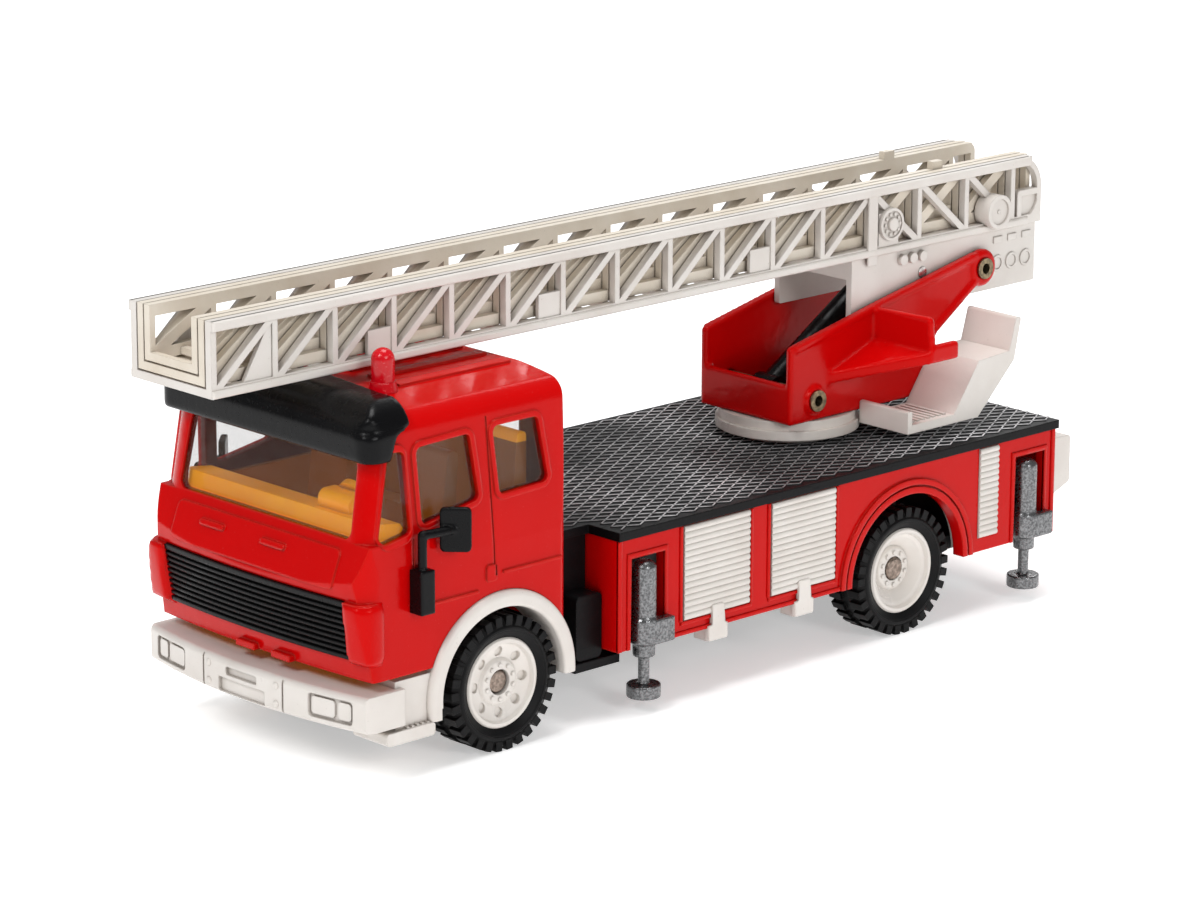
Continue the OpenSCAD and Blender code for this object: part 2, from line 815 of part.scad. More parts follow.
// One arch with a rounded rim, its cheek behind the bumper and the step below
module fender() {
    inner_r = fender_r - fender_t;
    y1 = bumper_w / 2 + 0.2;
    cheek_z = step_z + step_h - eps;
    difference() {
        union() {
            translate([arch_x, 0, axle_z]) rotate([-90, 0, 0]) rotate_extrude($fn = 96)
                round_outline([[inner_r, fender_y0], [fender_r, fender_y0], [fender_r, y1], [inner_r, y1]],
                    [0, 0, 0.9, 0.5]);
            side_slab(fender_y0, cheek_y)
                polygon([[step_x, cheek_z], [plate_x0 + 1, cheek_z], [plate_x0 + 1, cab_floor_z - 0.6],
                    [step_x - 1, cab_floor_z - 0.6]]);
        }
        cross_bar(arch_x, axle_z, 0, far, 2 * inner_r);
        box(-far, step_x - 1, 0, far, -far, fender_tip_z);
        box(-far, far, 0, far, -far, cheek_z);
    }
    side_slab(fender_y0 - 1, bumper_w / 2)
        round_rect(step_x, plate_x0 + 3, step_z, step_z + step_h, 0.5);
    for (i = [0 : step_ribs - 1])
        box(step_x + 0.8 + i * step_rib, step_x + 0.8 + (i + 0.5) * step_rib,
            cheek_y - eps, bumper_w / 2 - 0.2, step_z + step_h - 0.1, step_z + step_h + 0.2);
}

step_ribs = 5;
step_rib = (plate_x0 - step_x - 0.8) / step_ribs;
lamp_y = 12.3;
lamp_w = 7.2;
lens_w = 4.2;
recess_d = 0.5;
lens_d = 0.2;
plate_rim_w = 9.2;
joint_y = 7.9;
joint_w = 0.3;

// Blind recesses for the headlamps, the number plate and the joints of the bumper
module bumper_recesses() {
    module bow(inset) {
        translate([bumper_x - inset - bumper_bow_r, 0, 0])
            cylinder(r = bumper_bow_r, h = far, $fn = 180);
    }
    x0 = bumper_x - 6;
    difference() {
        cross_slab(x0, far) {
            both_sides_flat() round_rect(lamp_y, lamp_y + lamp_w, bumper_z + 0.9, bumper_z + 4, 0.6);
            round_rect(-plate_rim_w / 2, plate_rim_w / 2, bumper_z + 0.4, bumper_z + 2.3, 0.2);
            round_rect(-plate_rim_w / 3, plate_rim_w / 3, bumper_z + 2.8, bumper_z + 3.9, 0.3);
        }
        bow(recess_d);
        intersection() {
            cross_slab(x0, far) both_sides_flat() lenses();
            bow(lens_d);
        }
    }
    difference() {
        both_sides()
            box(x0, far, joint_y - joint_w / 2, joint_y + joint_w / 2, 0, far);
        bow(joint_w);
    }
}

// Main lamp and side lamp in one recess
module lenses() {
    round_rect(lamp_y + 0.4, lamp_y + lens_w, bumper_z + 1.3, bumper_z + 3.6, 0.5);
    round_rect(lamp_y + lens_w + 0.5, lamp_y + lamp_w - 0.4, bumper_z + 1.3, bumper_z + 3.6, 0.5);
}

module both_sides_flat() {
    children();
    mirror([1, 0]) children();
}

// Mirror on a bent arm, made for the left side

mirror_x = 14.9;
mirror_box = 2.3;
mirror_box_z = 21.8;
mirror_box_h = 5.7;
mirror_arm_d = 1.2;
mirror_reach = 2;
mirror_plate = [10.1, cab_w / 2 + mirror_reach, 31.9];

module mirror_arm() {
    base_y = cab_w / 2;
    y = base_y + mirror_box / 2;
    box(mirror_x - mirror_box / 2, mirror_x + mirror_box / 2, base_y, base_y + mirror_box,
        mirror_box_z, mirror_box_z + mirror_box_h);
    translate([mirror_x, y, mirror_box_z]) cylinder(d = mirror_arm_d, h = mirror_plate[2] - mirror_box_z);
    translate([mirror_x, y, mirror_plate[2]]) sphere(d = mirror_arm_d);
    reach = [mirror_plate[0] - mirror_x, mirror_plate[1] - y];
    translate([mirror_x, y, mirror_plate[2]]) rotate([0, 90, atan2(reach[1], reach[0])])
        cylinder(d = mirror_arm_d, h = norm(reach));
    translate(mirror_plate) rotate([0, 0, 45])
        cross_slab(-0.5, 0.4) round_rect(-2, 2, -2.9, 2.9, 0.7);
}

module mirror_left() from_front_axle() color("#101012") mirror_arm();

module mirror_right() from_front_axle() color("#101012") mirror([0, 1, 0]) mirror_arm();

// Two warning lights on the roof
module beacons() from_front_axle() color("#e01018", 0.8)
    both_sides()
        difference() {
            translate([beacon_x, beacon_y, roof_z - 1]) {
                cylinder(d1 = beacon_d + 1, d2 = beacon_d + 0.3, h = 1.9);
                cylinder(d = beacon_d, h = beacon_h + 1 - beacon_d / 2);
                translate([0, 0, beacon_h + 1 - beacon_d / 2]) sphere(d = beacon_d);
            }
            cab_solid(0, cab_floor_z);
        }

// Equipment body

module body_side_cuts() {
    translate([rear_x, axle_z]) circle(arch_r);
    translate([rear_x - arch_r, 0]) square([2 * arch_r, axle_z]);
    for (x = [front_bay_x, rear_bay_x])
        translate([x - bay_w / 2, 0]) square([bay_w, bay_top_z]);
    shutter_openings(seat_gap);
}

module shutter_openings(grow) {
    for (x = [shutter_a0 - shutter_len, shutter_b1])
        translate([x - grow, shutter_z - grow]) square([shutter_len + 2 * grow, shutter_h + 2 * grow]);
    translate([shutter_c1 - grow, shutter_z - grow])
        square([shutter_c0 - shutter_c1 + 2 * grow, shutter_h + 2 * grow]);
}

module body_shell() from_front_axle() color("#c8101c") {
    difference() {
        union() {
            difference() {
                box(body_x1, body_x0, -body_w / 2, body_w / 2, body_floor_z, deck_z0);
                box(body_x1 + body_wall, body_x0 - body_wall, -body_w / 2 + body_wall, body_w / 2 - body_wall,
                    0, deck_z0 - body_top_t);
                both_sides()
                    side_slab(body_w / 2 - body_wall - 2 * seat_gap, far) body_side_cuts();
            }
            both_sides() arch_lips();
            for (x = body_boss_x)
                translate([x, 0, plate_top]) cylinder(d = boss_d, h = deck_z0 - body_top_t - plate_top + eps);
        }
        translate([tt_x, 0, 0]) cylinder(d = pivot_d + 2 * run_gap, h = far);
        for (x = body_boss_x)
            translate([x, 0, plate_top - eps]) cylinder(d = rivet_shank, h = 2.01);
    }
}

// Raised double lip round a rear wheel arch
module arch_lips() {
    for (band = [[0, 0.9], [1.2, arch_lip]])
        side_slab(body_w / 2 - eps, body_w / 2 + 0.45)
            difference() {
                translate([rear_x, axle_z]) circle(arch_r + band[1]);
                translate([rear_x, axle_z]) circle(arch_r + band[0]);
                translate([rear_x - far, body_floor_z - far]) square([2 * far, far]);
            }
}

liner_t = 0.8;
liner_edge = 0.8;
slat_proud = 0.12;
tab_w = 3.4;
slat_pitch = shutter_h / shutter_slats;
slat_r = 0.62 * slat_pitch;

// Ribbed shutters of one side, with the liner that holds them behind the wall
module shutter_set() {
    y1 = body_w / 2;
    y0 = y1 - body_wall;
    intersection() {
        side_slab(y0 - seat_gap, y1 + far) shutter_openings(-eps);
        union() {
            box(body_x1, body_x0, y0 - 1, y1 + slat_proud - slat_r, 0, deck_z);
            for (i = [0 : shutter_slats - 1])
                translate([body_x1, y1 + slat_proud - slat_r, shutter_z + (i + 0.5) * slat_pitch])
                    rotate([0, 90, 0]) cylinder(r = slat_r, h = body_x0 - body_x1);
        }
    }
    side_slab(y0 - liner_t - seat_gap, y0 - seat_gap) liner_outline();
    for (x = [shutter_a0 - shutter_len / 2, shutter_b1 + shutter_len / 2])
        shutter_tab(x, y0, y1);
}

// One sheet behind all three shutters, cut out over the wheel
module liner_outline() {
    x0 = shutter_c1 - liner_edge;
    z0 = shutter_z - 1.2;
    difference() {
        translate([x0, z0]) square([shutter_a0 + liner_edge - x0, deck_z0 - body_top_t - z0]);
        translate([rear_x, axle_z]) circle(arch_r + 0.5);
    }
}

// Hook under the edge of the body, below a shutter
module shutter_tab(x, y0, y1) {
    z0 = body_floor_z - 1.8;
    box(x - tab_w / 2, x + tab_w / 2, y0 - liner_t - seat_gap, y0 - seat_gap, z0, shutter_z);
    box(x - tab_w / 2, x + tab_w / 2, y0 - seat_gap - eps, y1 + 0.2, z0, body_floor_z - seat_gap);
}

module shutters_left() from_front_axle() color("#efece6") shutter_set();

module shutters_right() from_front_axle() color("#efece6") mirror([0, 1, 0]) shutter_set();

tongue_w = 32;

module deck() from_front_axle() color("#232325")
    difference() {
        translate([0, 0, deck_z0]) linear_extrude(deck_t) {
            translate([body_x1 - 0.3, -deck_w / 2]) square([body_x0 - body_x1 + 0.5, deck_w]);
            translate([body_x0, -tongue_w / 2]) square([body_gap - 0.5, tongue_w]);
        }
        translate([tt_x, 0, 0]) cylinder(d = pivot_d + 2 * run_gap, h = far);
    }

lamp_block_x = 4;
lamp_block_z = 14;
lamp_block_h = 8.4;
lamp_block_y = 14.5;
tail_bar_h = 3.4;

// White lamp blocks on the rear wall, joined by the rear bumper bar
module rear_lamps() from_front_axle() color("#efece6") {
    x1 = body_x1 - lamp_block_x;
    z1 = lamp_block_z + lamp_block_h;
    both_sides()
        side_slab(lamp_block_y, body_w / 2 - 0.5)
            round_outline([[body_x1, lamp_block_z], [x1, lamp_block_z + 1.6], [x1, z1], [body_x1, z1]],
                [0, 0.6, 0.6, 0]);
    box(body_x1 - lamp_block_x / 2, body_x1, -lamp_block_y - eps, lamp_block_y + eps,
        lamp_block_z, lamp_block_z + tail_bar_h);
}

// Wheels

hub_h = tyre_w / 2 - 0.5;
front_dish = 0.9;
rear_dish = 1.9;
boss_h = 0.5;
front_seat = 1.2;
rear_seat = 0.6;
axle_head_t = 0.9;

// Axle with a riveted head in each hub, dish and seat being the depths in the hub
module wheel_axle(x, dish, seat) {
    y1 = hub_y + hub_h - dish + boss_h - seat;
    cross_bar(x, axle_z, -y1, y1, axle_d);
    both_sides()
        translate([x, y1 - eps, axle_z]) rotate([-90, 0, 0]) rotate_extrude()
            intersection() {
                round_outline([[-axle_head_d / 2, 0], [axle_head_d / 2, 0], [axle_head_d / 2, axle_head_t],
                    [-axle_head_d / 2, axle_head_t]], [0, 0, 0.4, 0.4]);
                square(far);
            }
}

module front_axle() from_front_axle() color("#b8b8b4") wheel_axle(0, front_dish, front_seat);

module rear_axle() from_front_axle() color("#b8b8b4") wheel_axle(rear_x, rear_dish, rear_seat);

// Places a wheel that is drawn with its outer face towards +Z
module on_axle(x, side) {
    translate([x, side * hub_y, axle_z]) rotate([-90 * side, 0, 0]) children();
}

bead_h = 0.12;
tread_band = 1.6;

// Rubber ring with a fine bead on each side and a row of lugs on each shoulder, half a pitch apart
module tyre() {
    carcass_r = tyre_d / 2 - lug_h;
    h = tyre_w / 2;
    rotate_extrude($fn = 96)
        both_ends()
            polygon([[hub_d / 2, -eps], [hub_d / 2, h - 0.5], [hub_d / 2 + 0.9, h], [carcass_r - 1.5, h],
                [carcass_r - 1.4, h + bead_h], [carcass_r - 1.1, h + bead_h], [carcass_r - 0.8, h - 0.1],
                [carcass_r, h - 0.6], [carcass_r, -eps]]);
    for (row = [0, 1])
        rotate([0, 0, row * 180 / tread_lugs])
            translate([0, 0, row == 0 ? tread_band / 2 : -h])
                linear_extrude(h - tread_band / 2) lug_ring(carcass_r - 0.9);
}

module both_ends() {
    children();
    mirror([0, 1]) children();
}

module lug_ring(inner_r) {
    lug_w = PI * tyre_d / tread_lugs * 0.56;
    difference() {
        intersection() {
            circle(tyre_d / 2, $fn = 96);
            union()
                for (i = [0 : tread_lugs - 1])
                    rotate(i * 360 / tread_lugs)
                        translate([inner_r, -lug_w / 2]) square([tyre_d, lug_w]);
        }
        circle(inner_r + 0.1, $fn = 96);
    }
}

wheel_pockets = 8;
wheel_bolts = 10;
rim_w = 0.7;
boss_r = 2.9;

// Hub with a rounded rim, a dish, a ring of bolts and a seat for the axle's head
module hub(dish, seat, pocket_d) {
    h = hub_h;
    r = hub_d / 2;
    web_z = h - dish;
    head_r = axle_head_d / 2 + 0.1;
    bolt_r = (boss_r + head_r) / 2;
    pocket_r = (boss_r + r - rim_w) / 2;
    difference() {
        rotate_extrude($fn = 96)
            polygon([[axle_d / 2, -h], [r, -h], [r, h], [r - 0.2, h + 0.25], [r - rim_w, h + 0.25],
                [r - rim_w - 0.2, h - 0.3], [r - rim_w - 0.7, h - 0.5], [boss_r + 0.3, web_z],
                [boss_r, web_z + boss_h - 0.1], [boss_r - 0.2, web_z + boss_h], [head_r, web_z + boss_h],
                [head_r, web_z + boss_h - seat], [axle_d / 2, web_z + boss_h - seat]]);
        if (pocket_d > 0)
            for (i = [0 : wheel_pockets - 1])
                rotate(i * 360 / wheel_pockets)
                    translate([pocket_r, 0, web_z - 0.15]) cylinder(d = pocket_d, h = dish, $fn = 24);
    }
    for (i = [0 : wheel_bolts - 1])
        rotate((i + 0.5) * 360 / wheel_bolts)
            translate([bolt_r, 0, web_z + boss_h - 0.2]) cylinder(d = 0.6, h = 0.45, $fn = 24);
}

module front_hub_left() from_front_axle() color("#f0efec") on_axle(0, 1) hub(front_dish, front_seat, 1.3);

module front_hub_right() from_front_axle() color("#f0efec") on_axle(0, -1) hub(front_dish, front_seat, 1.3);

module rear_hub_left() from_front_axle() color("#f0efec") on_axle(rear_x, 1) hub(rear_dish, rear_seat, 0);

module rear_hub_right() from_front_axle() color("#f0efec") on_axle(rear_x, -1) hub(rear_dish, rear_seat, 0);

module front_tyre_left() from_front_axle() color("#1a1a1a") on_axle(0, 1) tyre();

module front_tyre_right() from_front_axle() color("#1a1a1a") on_axle(0, -1) tyre();

module rear_tyre_left() from_front_axle() color("#1a1a1a") on_axle(rear_x, 1) tyre();

module rear_tyre_right() from_front_axle() color("#1a1a1a") on_axle(rear_x, -1) tyre();

// Turntable

clip_z = deck_z0 - body_top_t - 0.25;
clip_t = 1;
clip_d = pivot_d + 4;
neck_step = 5;
neck_h = 2;

module turntable() from_front_axle() color("#f2f0ec")
    translate([tt_x, 0, 0]) {
        translate([0, 0, clip_z - clip_t - 0.6]) cylinder(d = pivot_d, h = tt_flange_z - clip_z + clip_t + 1);
        translate([0, 0, deck_z + 0.2]) cylinder(d = turntable_d - neck_step, h = neck_h);
        translate([0, 0, tt_flange_z]) cylinder(d = turntable_d, h = tt_flange_t);
        translate([0, 0, tt_flange_z + 1]) cylinder(d = turntable_d - 1, h = tt_top_z - tt_flange_z - 1);
    }

module turntable_clip() from_front_axle() color("#2a2a2c")
    translate([tt_x, 0, clip_z - clip_t])
        difference() {
            cylinder(d = clip_d, h = clip_t);
            translate([0, 0, -eps]) cylinder(d = pivot_d, h = clip_t + 2 * eps);
        }

cradle_x0 = tt_x + 8.5;
cradle_x1 = tt_x - 19;
cradle_floor = 1.2;
ram_foot_d = ram_d + 0.4;
foot_gap = 0.3;
ear_r = 2.7;
cradle_top_z = tt_top_z + 11;
knee_back = 7.8;
knee_rise = 14.6;
knee_x = tt_x - knee_back;
knee_z = tt_top_z + knee_rise;

// Side wall with the arm that rises to the ladder's hinge
module cradle_wall_outline() {
    round_outline([[cradle_x1, tt_top_z], [cradle_x0, tt_top_z], [cradle_x0, cradle_top_z], [knee_x, knee_z],
        [hinge_x + 1.4, hinge_z + ear_r - 0.25], [hinge_x + 1.4, hinge_z - ear_r + 0.4],
        [cradle_x1 - 2.4, tt_top_z + 9], [cradle_x1, tt_top_z + 5]], [0, 0.4, 0.8, 0, 0, 0, 0, 0]);
    translate([hinge_x, hinge_z]) circle(ear_r);
}

module cradle() from_front_axle() color("#c8101c")
    difference() {
        union() {
            both_sides()
                side_slab(cradle_w / 2 - cradle_wall, cradle_w / 2) cradle_wall_outline();
            box(cradle_x1, cradle_x0, -cradle_w / 2, cradle_w / 2, tt_top_z, tt_top_z + cradle_floor);
            box(cradle_x0 - cradle_wall, cradle_x0, -cradle_w / 2, cradle_w / 2, tt_top_z, tt_top_z + 5.6);
            both_sides() {
                cross_bar(ram_x, ram_z, cradle_w / 2 - cradle_wall, cradle_w / 2 + 0.5, 3.8);
                cross_bar(hinge_x, hinge_z, cradle_w / 2 - cradle_wall, cradle_w / 2 + 0.3, 2 * ear_r - 0.8);
            }
            both_sides() cradle_rims();
            console();
        }
        cross_bar(ram_x, ram_z, -far, far, rivet_d);
        cross_bar(hinge_x, hinge_z, -far, far, rivet_d);
        cross_bar(ram_x, ram_z, -ram_d / 2 - foot_gap, ram_d / 2 + foot_gap, ram_foot_d + 2 * foot_gap);
    }

rim_h = 0.35;
rim_line = 0.9;

// Raised rims along the edges of one wall and its arm
module cradle_rims() {
    m = rim_line / 2;
    arm_x = hinge_x + 1.4;
    side_slab(cradle_w / 2 - eps, cradle_w / 2 + rim_h) {
        square_line([cradle_x0 - rim_line, cradle_top_z - m + 0.2], [knee_x, knee_z - m], rim_line);
        square_line([knee_x + 0.1, knee_z - m], [arm_x, hinge_z + ear_r - 0.25 - m], rim_line);
        square_line([cradle_x1 - 1.6, tt_top_z + 9.2], [arm_x, hinge_z - ear_r + 0.4 + m + 0.1], rim_line);
    }
}

console_y = 20;
console_x = tt_x + 1.5;
console_z = tt_top_z + 6.3;
shelf_rise = 3.9;
shelf_t = 1.7;
panel_t = 1;
console_tab = 4.5;

// Flared shield beside the operator, on the left wall: a rising shelf, an upright panel and a tab
module console() {
    wall_y = cradle_w / 2 - 0.3;
    panel_x = knee_x - panel_t;
    shelf_z = console_z + shelf_rise;
    intersection() {
        side_slab(wall_y, console_y)
            polygon([[console_x, console_z], [panel_x, shelf_z], [panel_x, shelf_z - shelf_t],
                [console_x, console_z - shelf_t]]);
        linear_extrude(far)
            polygon([[console_x, wall_y], [knee_x, console_y], [panel_x, console_y], [panel_x, wall_y]]);
    }
    cross_slab(panel_x, knee_x)
        round_outline([[wall_y, shelf_z - shelf_t], [console_y, shelf_z - shelf_t],
            [console_y - 0.6, knee_z], [wall_y, knee_z - 0.3]], [0, 0, 0.8, 0]);
    cross_slab(panel_x - console_tab, knee_x - 0.5)
        round_rect(console_y - 1.2, console_y, shelf_z - 2.1, shelf_z + 0.4, 0.4);
}

// Hollow rivets through both walls of the cradle
module hollow_rivet(x, z, y0, y1) {
    difference() {
        union() {
            cross_bar(x, z, y0, y1, rivet_d);
            cross_bar(x, z, y1 - 0.3, y1, rivet_d + 0.6);
            cross_bar(x, z, y0, y0 + 0.3, rivet_d + 0.6);
        }
        cross_bar(x, z, -far, far, rivet_d - 0.9);
    }
}

module hinge_rivet() from_front_axle() color("#6e5a3a")
    hollow_rivet(hinge_x, hinge_z, -cradle_w / 2 - 0.65, cradle_w / 2 + 0.65);

module ram_rivet() from_front_axle() color("#6e5a3a")
    hollow_rivet(ram_x, ram_z, -cradle_w / 2 - 0.85, cradle_w / 2 + 0.85);

platform_y0 = cradle_w / 2;
platform_y1 = 18;
platform_z = deck_z + 1.9;
tray_t = 1.2;
tray_lip = 3.2;
tray_len = 9.4;
seat_front = 14.3;
seat_h = 8.1;
seat_len = 6.3;
back_h = 5;
back_t = 1;
tray_ribs = 7;
least_reach = 3;

// Operator's tray with a tread, a slanting front to the seat, and a high back
module platform() from_front_axle() color("#f0eeea") {
    ring_r = turntable_d / 2 + 0.2;
    x0 = tt_x - sqrt(max(ring_r * ring_r - platform_y0 * platform_y0, least_reach * least_reach));
    floor_z = platform_z + tray_t;
    seat_z = platform_z + seat_h;
    seat_x1 = x0 - seat_front - seat_len;
    back_x = seat_x1 - 1.3;
    side_slab(platform_y0, platform_y1)
        round_outline([[x0, platform_z], [x0, platform_z + tray_lip], [x0 - 0.9, platform_z + tray_lip],
            [x0 - 0.9, floor_z], [x0 - tray_len, floor_z], [x0 - seat_front, seat_z],
            [seat_x1, seat_z + 0.4], [back_x, seat_z + back_h], [back_x - back_t, seat_z + back_h],
            [seat_x1 - back_t, seat_z - back_t], [x0 - seat_front, platform_z]],
            [0, 0.3, 0.3, 0, 0, 0, 0, 0.4, 0.4, 0, 0]);
    rib = (tray_len - 2) / tray_ribs;
    for (i = [0 : tray_ribs - 1])
        box(x0 - tray_len + 0.6 + i * rib, x0 - tray_len + 0.6 + (i + 0.5) * rib,
            platform_y0 + 1, platform_y1 - 1, floor_z - 0.1, floor_z + 0.2);
}

// Ladder

rail_h = 1.3;
rail_lip = 0.2;
base_out = ladder_w / 2 - rail_lip;
base_in = base_out - ladder_wall;
mid_out = base_in - ladder_gap;
mid_in = mid_out - ladder_wall;
top_out = mid_in - ladder_gap;
top_in = top_out - ladder_wall;
floor_t = 1.1;
rung_w = 1;
mid_z = ladder_z + floor_t + ladder_gap;
top_z = mid_z + floor_t + ladder_gap;
ladder_top = ladder_z + ladder_h;
brace_w = 0.95;
base_end_r = 4.6;
section_end_r = 1.3;
disc_d = 4.6;
disc_z = ladder_z + 4.2;
disc_bolts = 10;
drum_d = 4.9;
drum_z = ladder_z + 3;
end_plate = 5;

function post_x(i) = front_post_x - i * bay_pitch;

// Posts and slanting braces of one wall between two rails, in the X-Z plane
module truss_outline(z0, z1, rail, bays, brace_w, x1, end_r) {
    x0 = front_post_x + post_w / 2;
    rail_x1 = x1 + end_r / 2;
    translate([x1, z0]) square([x0 - x1, rail]);
    translate([rail_x1, z1 - rail]) square([x0 - rail_x1, rail]);
    for (i = [0 : len(bays)])
        translate([post_x(i) - post_w / 2, z0]) square([post_w, z1 - z0]);
    for (i = [0 : len(bays) - 1])
        if (bays[i] > 0)
            square_line([post_x(i), z0 + rail / 2], [post_x(i + 1), z1 - rail / 2], brace_w);
        else if (bays[i] < 0)
            square_line([post_x(i), z1 - rail / 2], [post_x(i + 1), z0 + rail / 2], brace_w);
    translate([x1, z0]) square([post_w, z1 - z0 - end_r]);
    translate([x1 + end_r, z1 - end_r])
        intersection() {
            difference() {
                circle(end_r);
                circle(max(end_r - post_w, eps));
            }
            translate([-end_r, 0]) square([0.75 * end_r, end_r]);
        }
}

// Round boss with a rim round its face
module rimmed_boss(x, z, y0, y1, d, rim) {
    difference() {
        cross_bar(x, z, y0, y1, d);
        cross_bar(x, z, y1 - rim / 2, y1 + far, d - 2 * rim);
    }
}

base_braces = concat([for (i = [1 : front_bays]) 1], [for (i = [1 : tail_bays]) -1]);

// Steps of a ladder, two to a bay
module rungs(half_w, z, x1) {
    step = bay_pitch / 2;
    for (i = [1 : floor((front_post_x - x1) / step) - 1])
        box(front_post_x - i * step - rung_w / 2, front_post_x - i * step + rung_w / 2, -half_w, half_w,
            z + 0.15, z + floor_t - 0.1);
}

module ladder_base() from_front_axle() color("#ebe7e2") {
    both_sides() {
        side_slab(base_in, base_out)
            truss_outline(ladder_z, ladder_top, rail_h, base_braces, brace_w, ladder_x1, base_end_r);
        box(ladder_x1 + base_end_r / 2, ladder_x0, base_out - eps, base_out + rail_lip,
            ladder_top - rail_h, ladder_top);
        base_details();
    }
    rungs(base_in + eps, ladder_z, ladder_x1);
    box(ladder_x0 - post_w, ladder_x0, -base_in - eps, base_in + eps, ladder_z, ladder_z + floor_t);
    box(ladder_x1, ladder_x1 + post_w, -base_in - eps, base_in + eps, ladder_z, ladder_z + floor_t);
}

// Gusset, filler squares, bolted disc, winch drum and end plate of one side
module base_details() {
    side_slab(base_in + 0.3, base_out - 0.2) {
        polygon([[post_x(0.95), ladder_z + 0.5], [post_x(0.45), ladder_z + 0.5],
            [post_x(0.95), ladder_top - 1]]);
        for (i = [3, 6, 10])
            translate([post_x(i), ladder_z + 0.5]) square([4.2, 4]);
    }
    side_slab(base_out - eps, base_out + 0.3)
        translate([post_x(front_bays) - 0.9, ladder_z - 1.2]) square([1.8, ladder_h]);
    disc_x = post_x(front_bays) - 3.6;
    side_slab(base_in, base_out)
        translate([disc_x - 1.8, ladder_z + 0.5]) square([4, 5.4]);
    rimmed_boss(disc_x, disc_z, base_in, base_out + 0.6, disc_d, 0.4);
    cross_bar(disc_x, disc_z, base_in, base_out + 0.9, disc_d / 2.6);
    bolt_r = disc_d / 3.2;
    for (i = [1 : disc_bolts])
        cross_bar(disc_x + bolt_r * cos(i * 360 / disc_bolts), disc_z + bolt_r * sin(i * 360 / disc_bolts),
            base_out, base_out + 0.65, 0.45);
    drum_x = post_x(front_bays + tail_bays) + 4.4;
    rimmed_boss(drum_x, drum_z, base_in, base_out + 1.6, drum_d, 0.6);
    cross_bar(drum_x, drum_z, base_in, base_out + 1.45, 0.6);
    difference() {
        side_slab(base_in, base_out)
            round_outline([[ladder_x1, ladder_z], [ladder_x1 + end_plate, ladder_z],
                [ladder_x1 + end_plate, ladder_z + end_plate], [ladder_x1, ladder_z + end_plate]],
                [0, 0, 0.6, 0]);
        side_slab(base_out - 0.4, base_out + far)
            translate([ladder_x1 + end_plate - 0.9, ladder_z + end_plate - 0.9])
                intersection() {
                    circle(end_plate - 1.6);
                    translate([-far, -far]) square(far);
                }
    }
}

bracket_out = cradle_w / 2 - cradle_wall - 0.25;
bracket_in = bracket_out - 1;
bracket_x0 = hinge_x + 25.5;
bracket_h = 8.6;
bracket_z0 = ladder_z - bracket_h;

// Two plates under the base ladder that carry the hinge and the ram
module ladder_bracket() from_front_axle() color("#ebe7e2")
    difference() {
        union() {
            both_sides() {
                side_slab(bracket_in, bracket_out)
                    round_outline([[ladder_x1 + 0.6, bracket_z0], [bracket_x0, bracket_z0],
                        [bracket_x0, ladder_z], [ladder_x1 + 0.6, ladder_z]], [0.3, 0.3, 0, 0]);
                panel_buttons();
                for (i = [0 : 2])
                    cross_bar(pin_x + 0.4 + i * 2, ladder_z - 1.4, bracket_in, bracket_out + 0.7, 1.5);
            }
            box(bracket_x0 - 1.2, bracket_x0, -bracket_in - eps, bracket_in + eps, ladder_z - 3, ladder_z);
            box(ladder_x1 + 0.6, ladder_x1 + 1.8, -bracket_in - eps, bracket_in + eps, bracket_z0, ladder_z);
        }
        cross_bar(hinge_x, hinge_z, -far, far, rivet_d + 2 * run_gap);
        cross_bar(pin_x, pin_z, -far, far, pin_d);
    }

// Generic buttons and dials of the operator's panel
module panel_buttons() {
    for (i = [0 : 2]) {
        x = ladder_x1 + 2.6 + i * 3;
        box(x - 0.9, x + 0.9, bracket_out - eps, bracket_out + 0.2, ladder_z - 2, ladder_z - 1.1);
        rimmed_boss(x, ladder_z - 5, bracket_out - eps, bracket_out + 0.2, 2.4, 0.35);
    }
}

module ram_pin() from_front_axle() color("#c9c9c6")
    cross_bar(pin_x, pin_z, -bracket_out - 0.15, bracket_out + 0.15, pin_d);

section_x1 = ladder_x1 + 1;

// A nested U-section with pierced walls, a lipped front frame and rungs
module section(out, inner, z0, rail) {
    braces = [for (i = [1 : front_bays + tail_bays]) 1];
    both_sides()
        side_slab(inner, out)
            truss_outline(z0, ladder_top, rail, braces, rail, section_x1, section_end_r);
    rungs(inner + eps, z0, section_x1);
    box(ladder_x0 - post_w, ladder_x0, -inner - eps, inner + eps, z0, z0 + floor_t);
    box(section_x1, section_x1 + post_w, -inner - eps, inner + eps, z0, z0 + floor_t);
}

module ladder_middle() from_front_axle() color("#e6dccb") section(mid_out, mid_in, mid_z, 1.5);

module ladder_top() from_front_axle() color("#e6dccb") {
    section(top_out, top_in, top_z, 1.5);
    both_sides()
        box(hinge_x + 5, hinge_x + 7, top_in, top_out, ladder_top - eps, ladder_top + 1.1);
}

// Ram

cylinder_l = 20;
rod_l = 18;

// Places a piece that is drawn along +X from the ram's lower pivot
module along_ram() {
    translate([ram_x, 0, ram_z]) rotate([0, -ram_angle, 0]) children();
}

module ram_cylinder() from_front_axle() color("#161618") along_ram()
    difference() {
        union() {
            rotate([0, 90, 0]) cylinder(d = ram_d, h = cylinder_l);
            cross_bar(0, 0, -ram_d / 2, ram_d / 2, ram_foot_d);
        }
        cross_bar(0, 0, -far, far, rivet_d + 2 * run_gap);
        translate([3.2, 0, 0]) rotate([0, 90, 0]) cylinder(d = rod_d + 2 * run_gap, h = far);
    }

eye_t = 3;
eye_r = pin_d / 2 + ram_slack + 0.9;

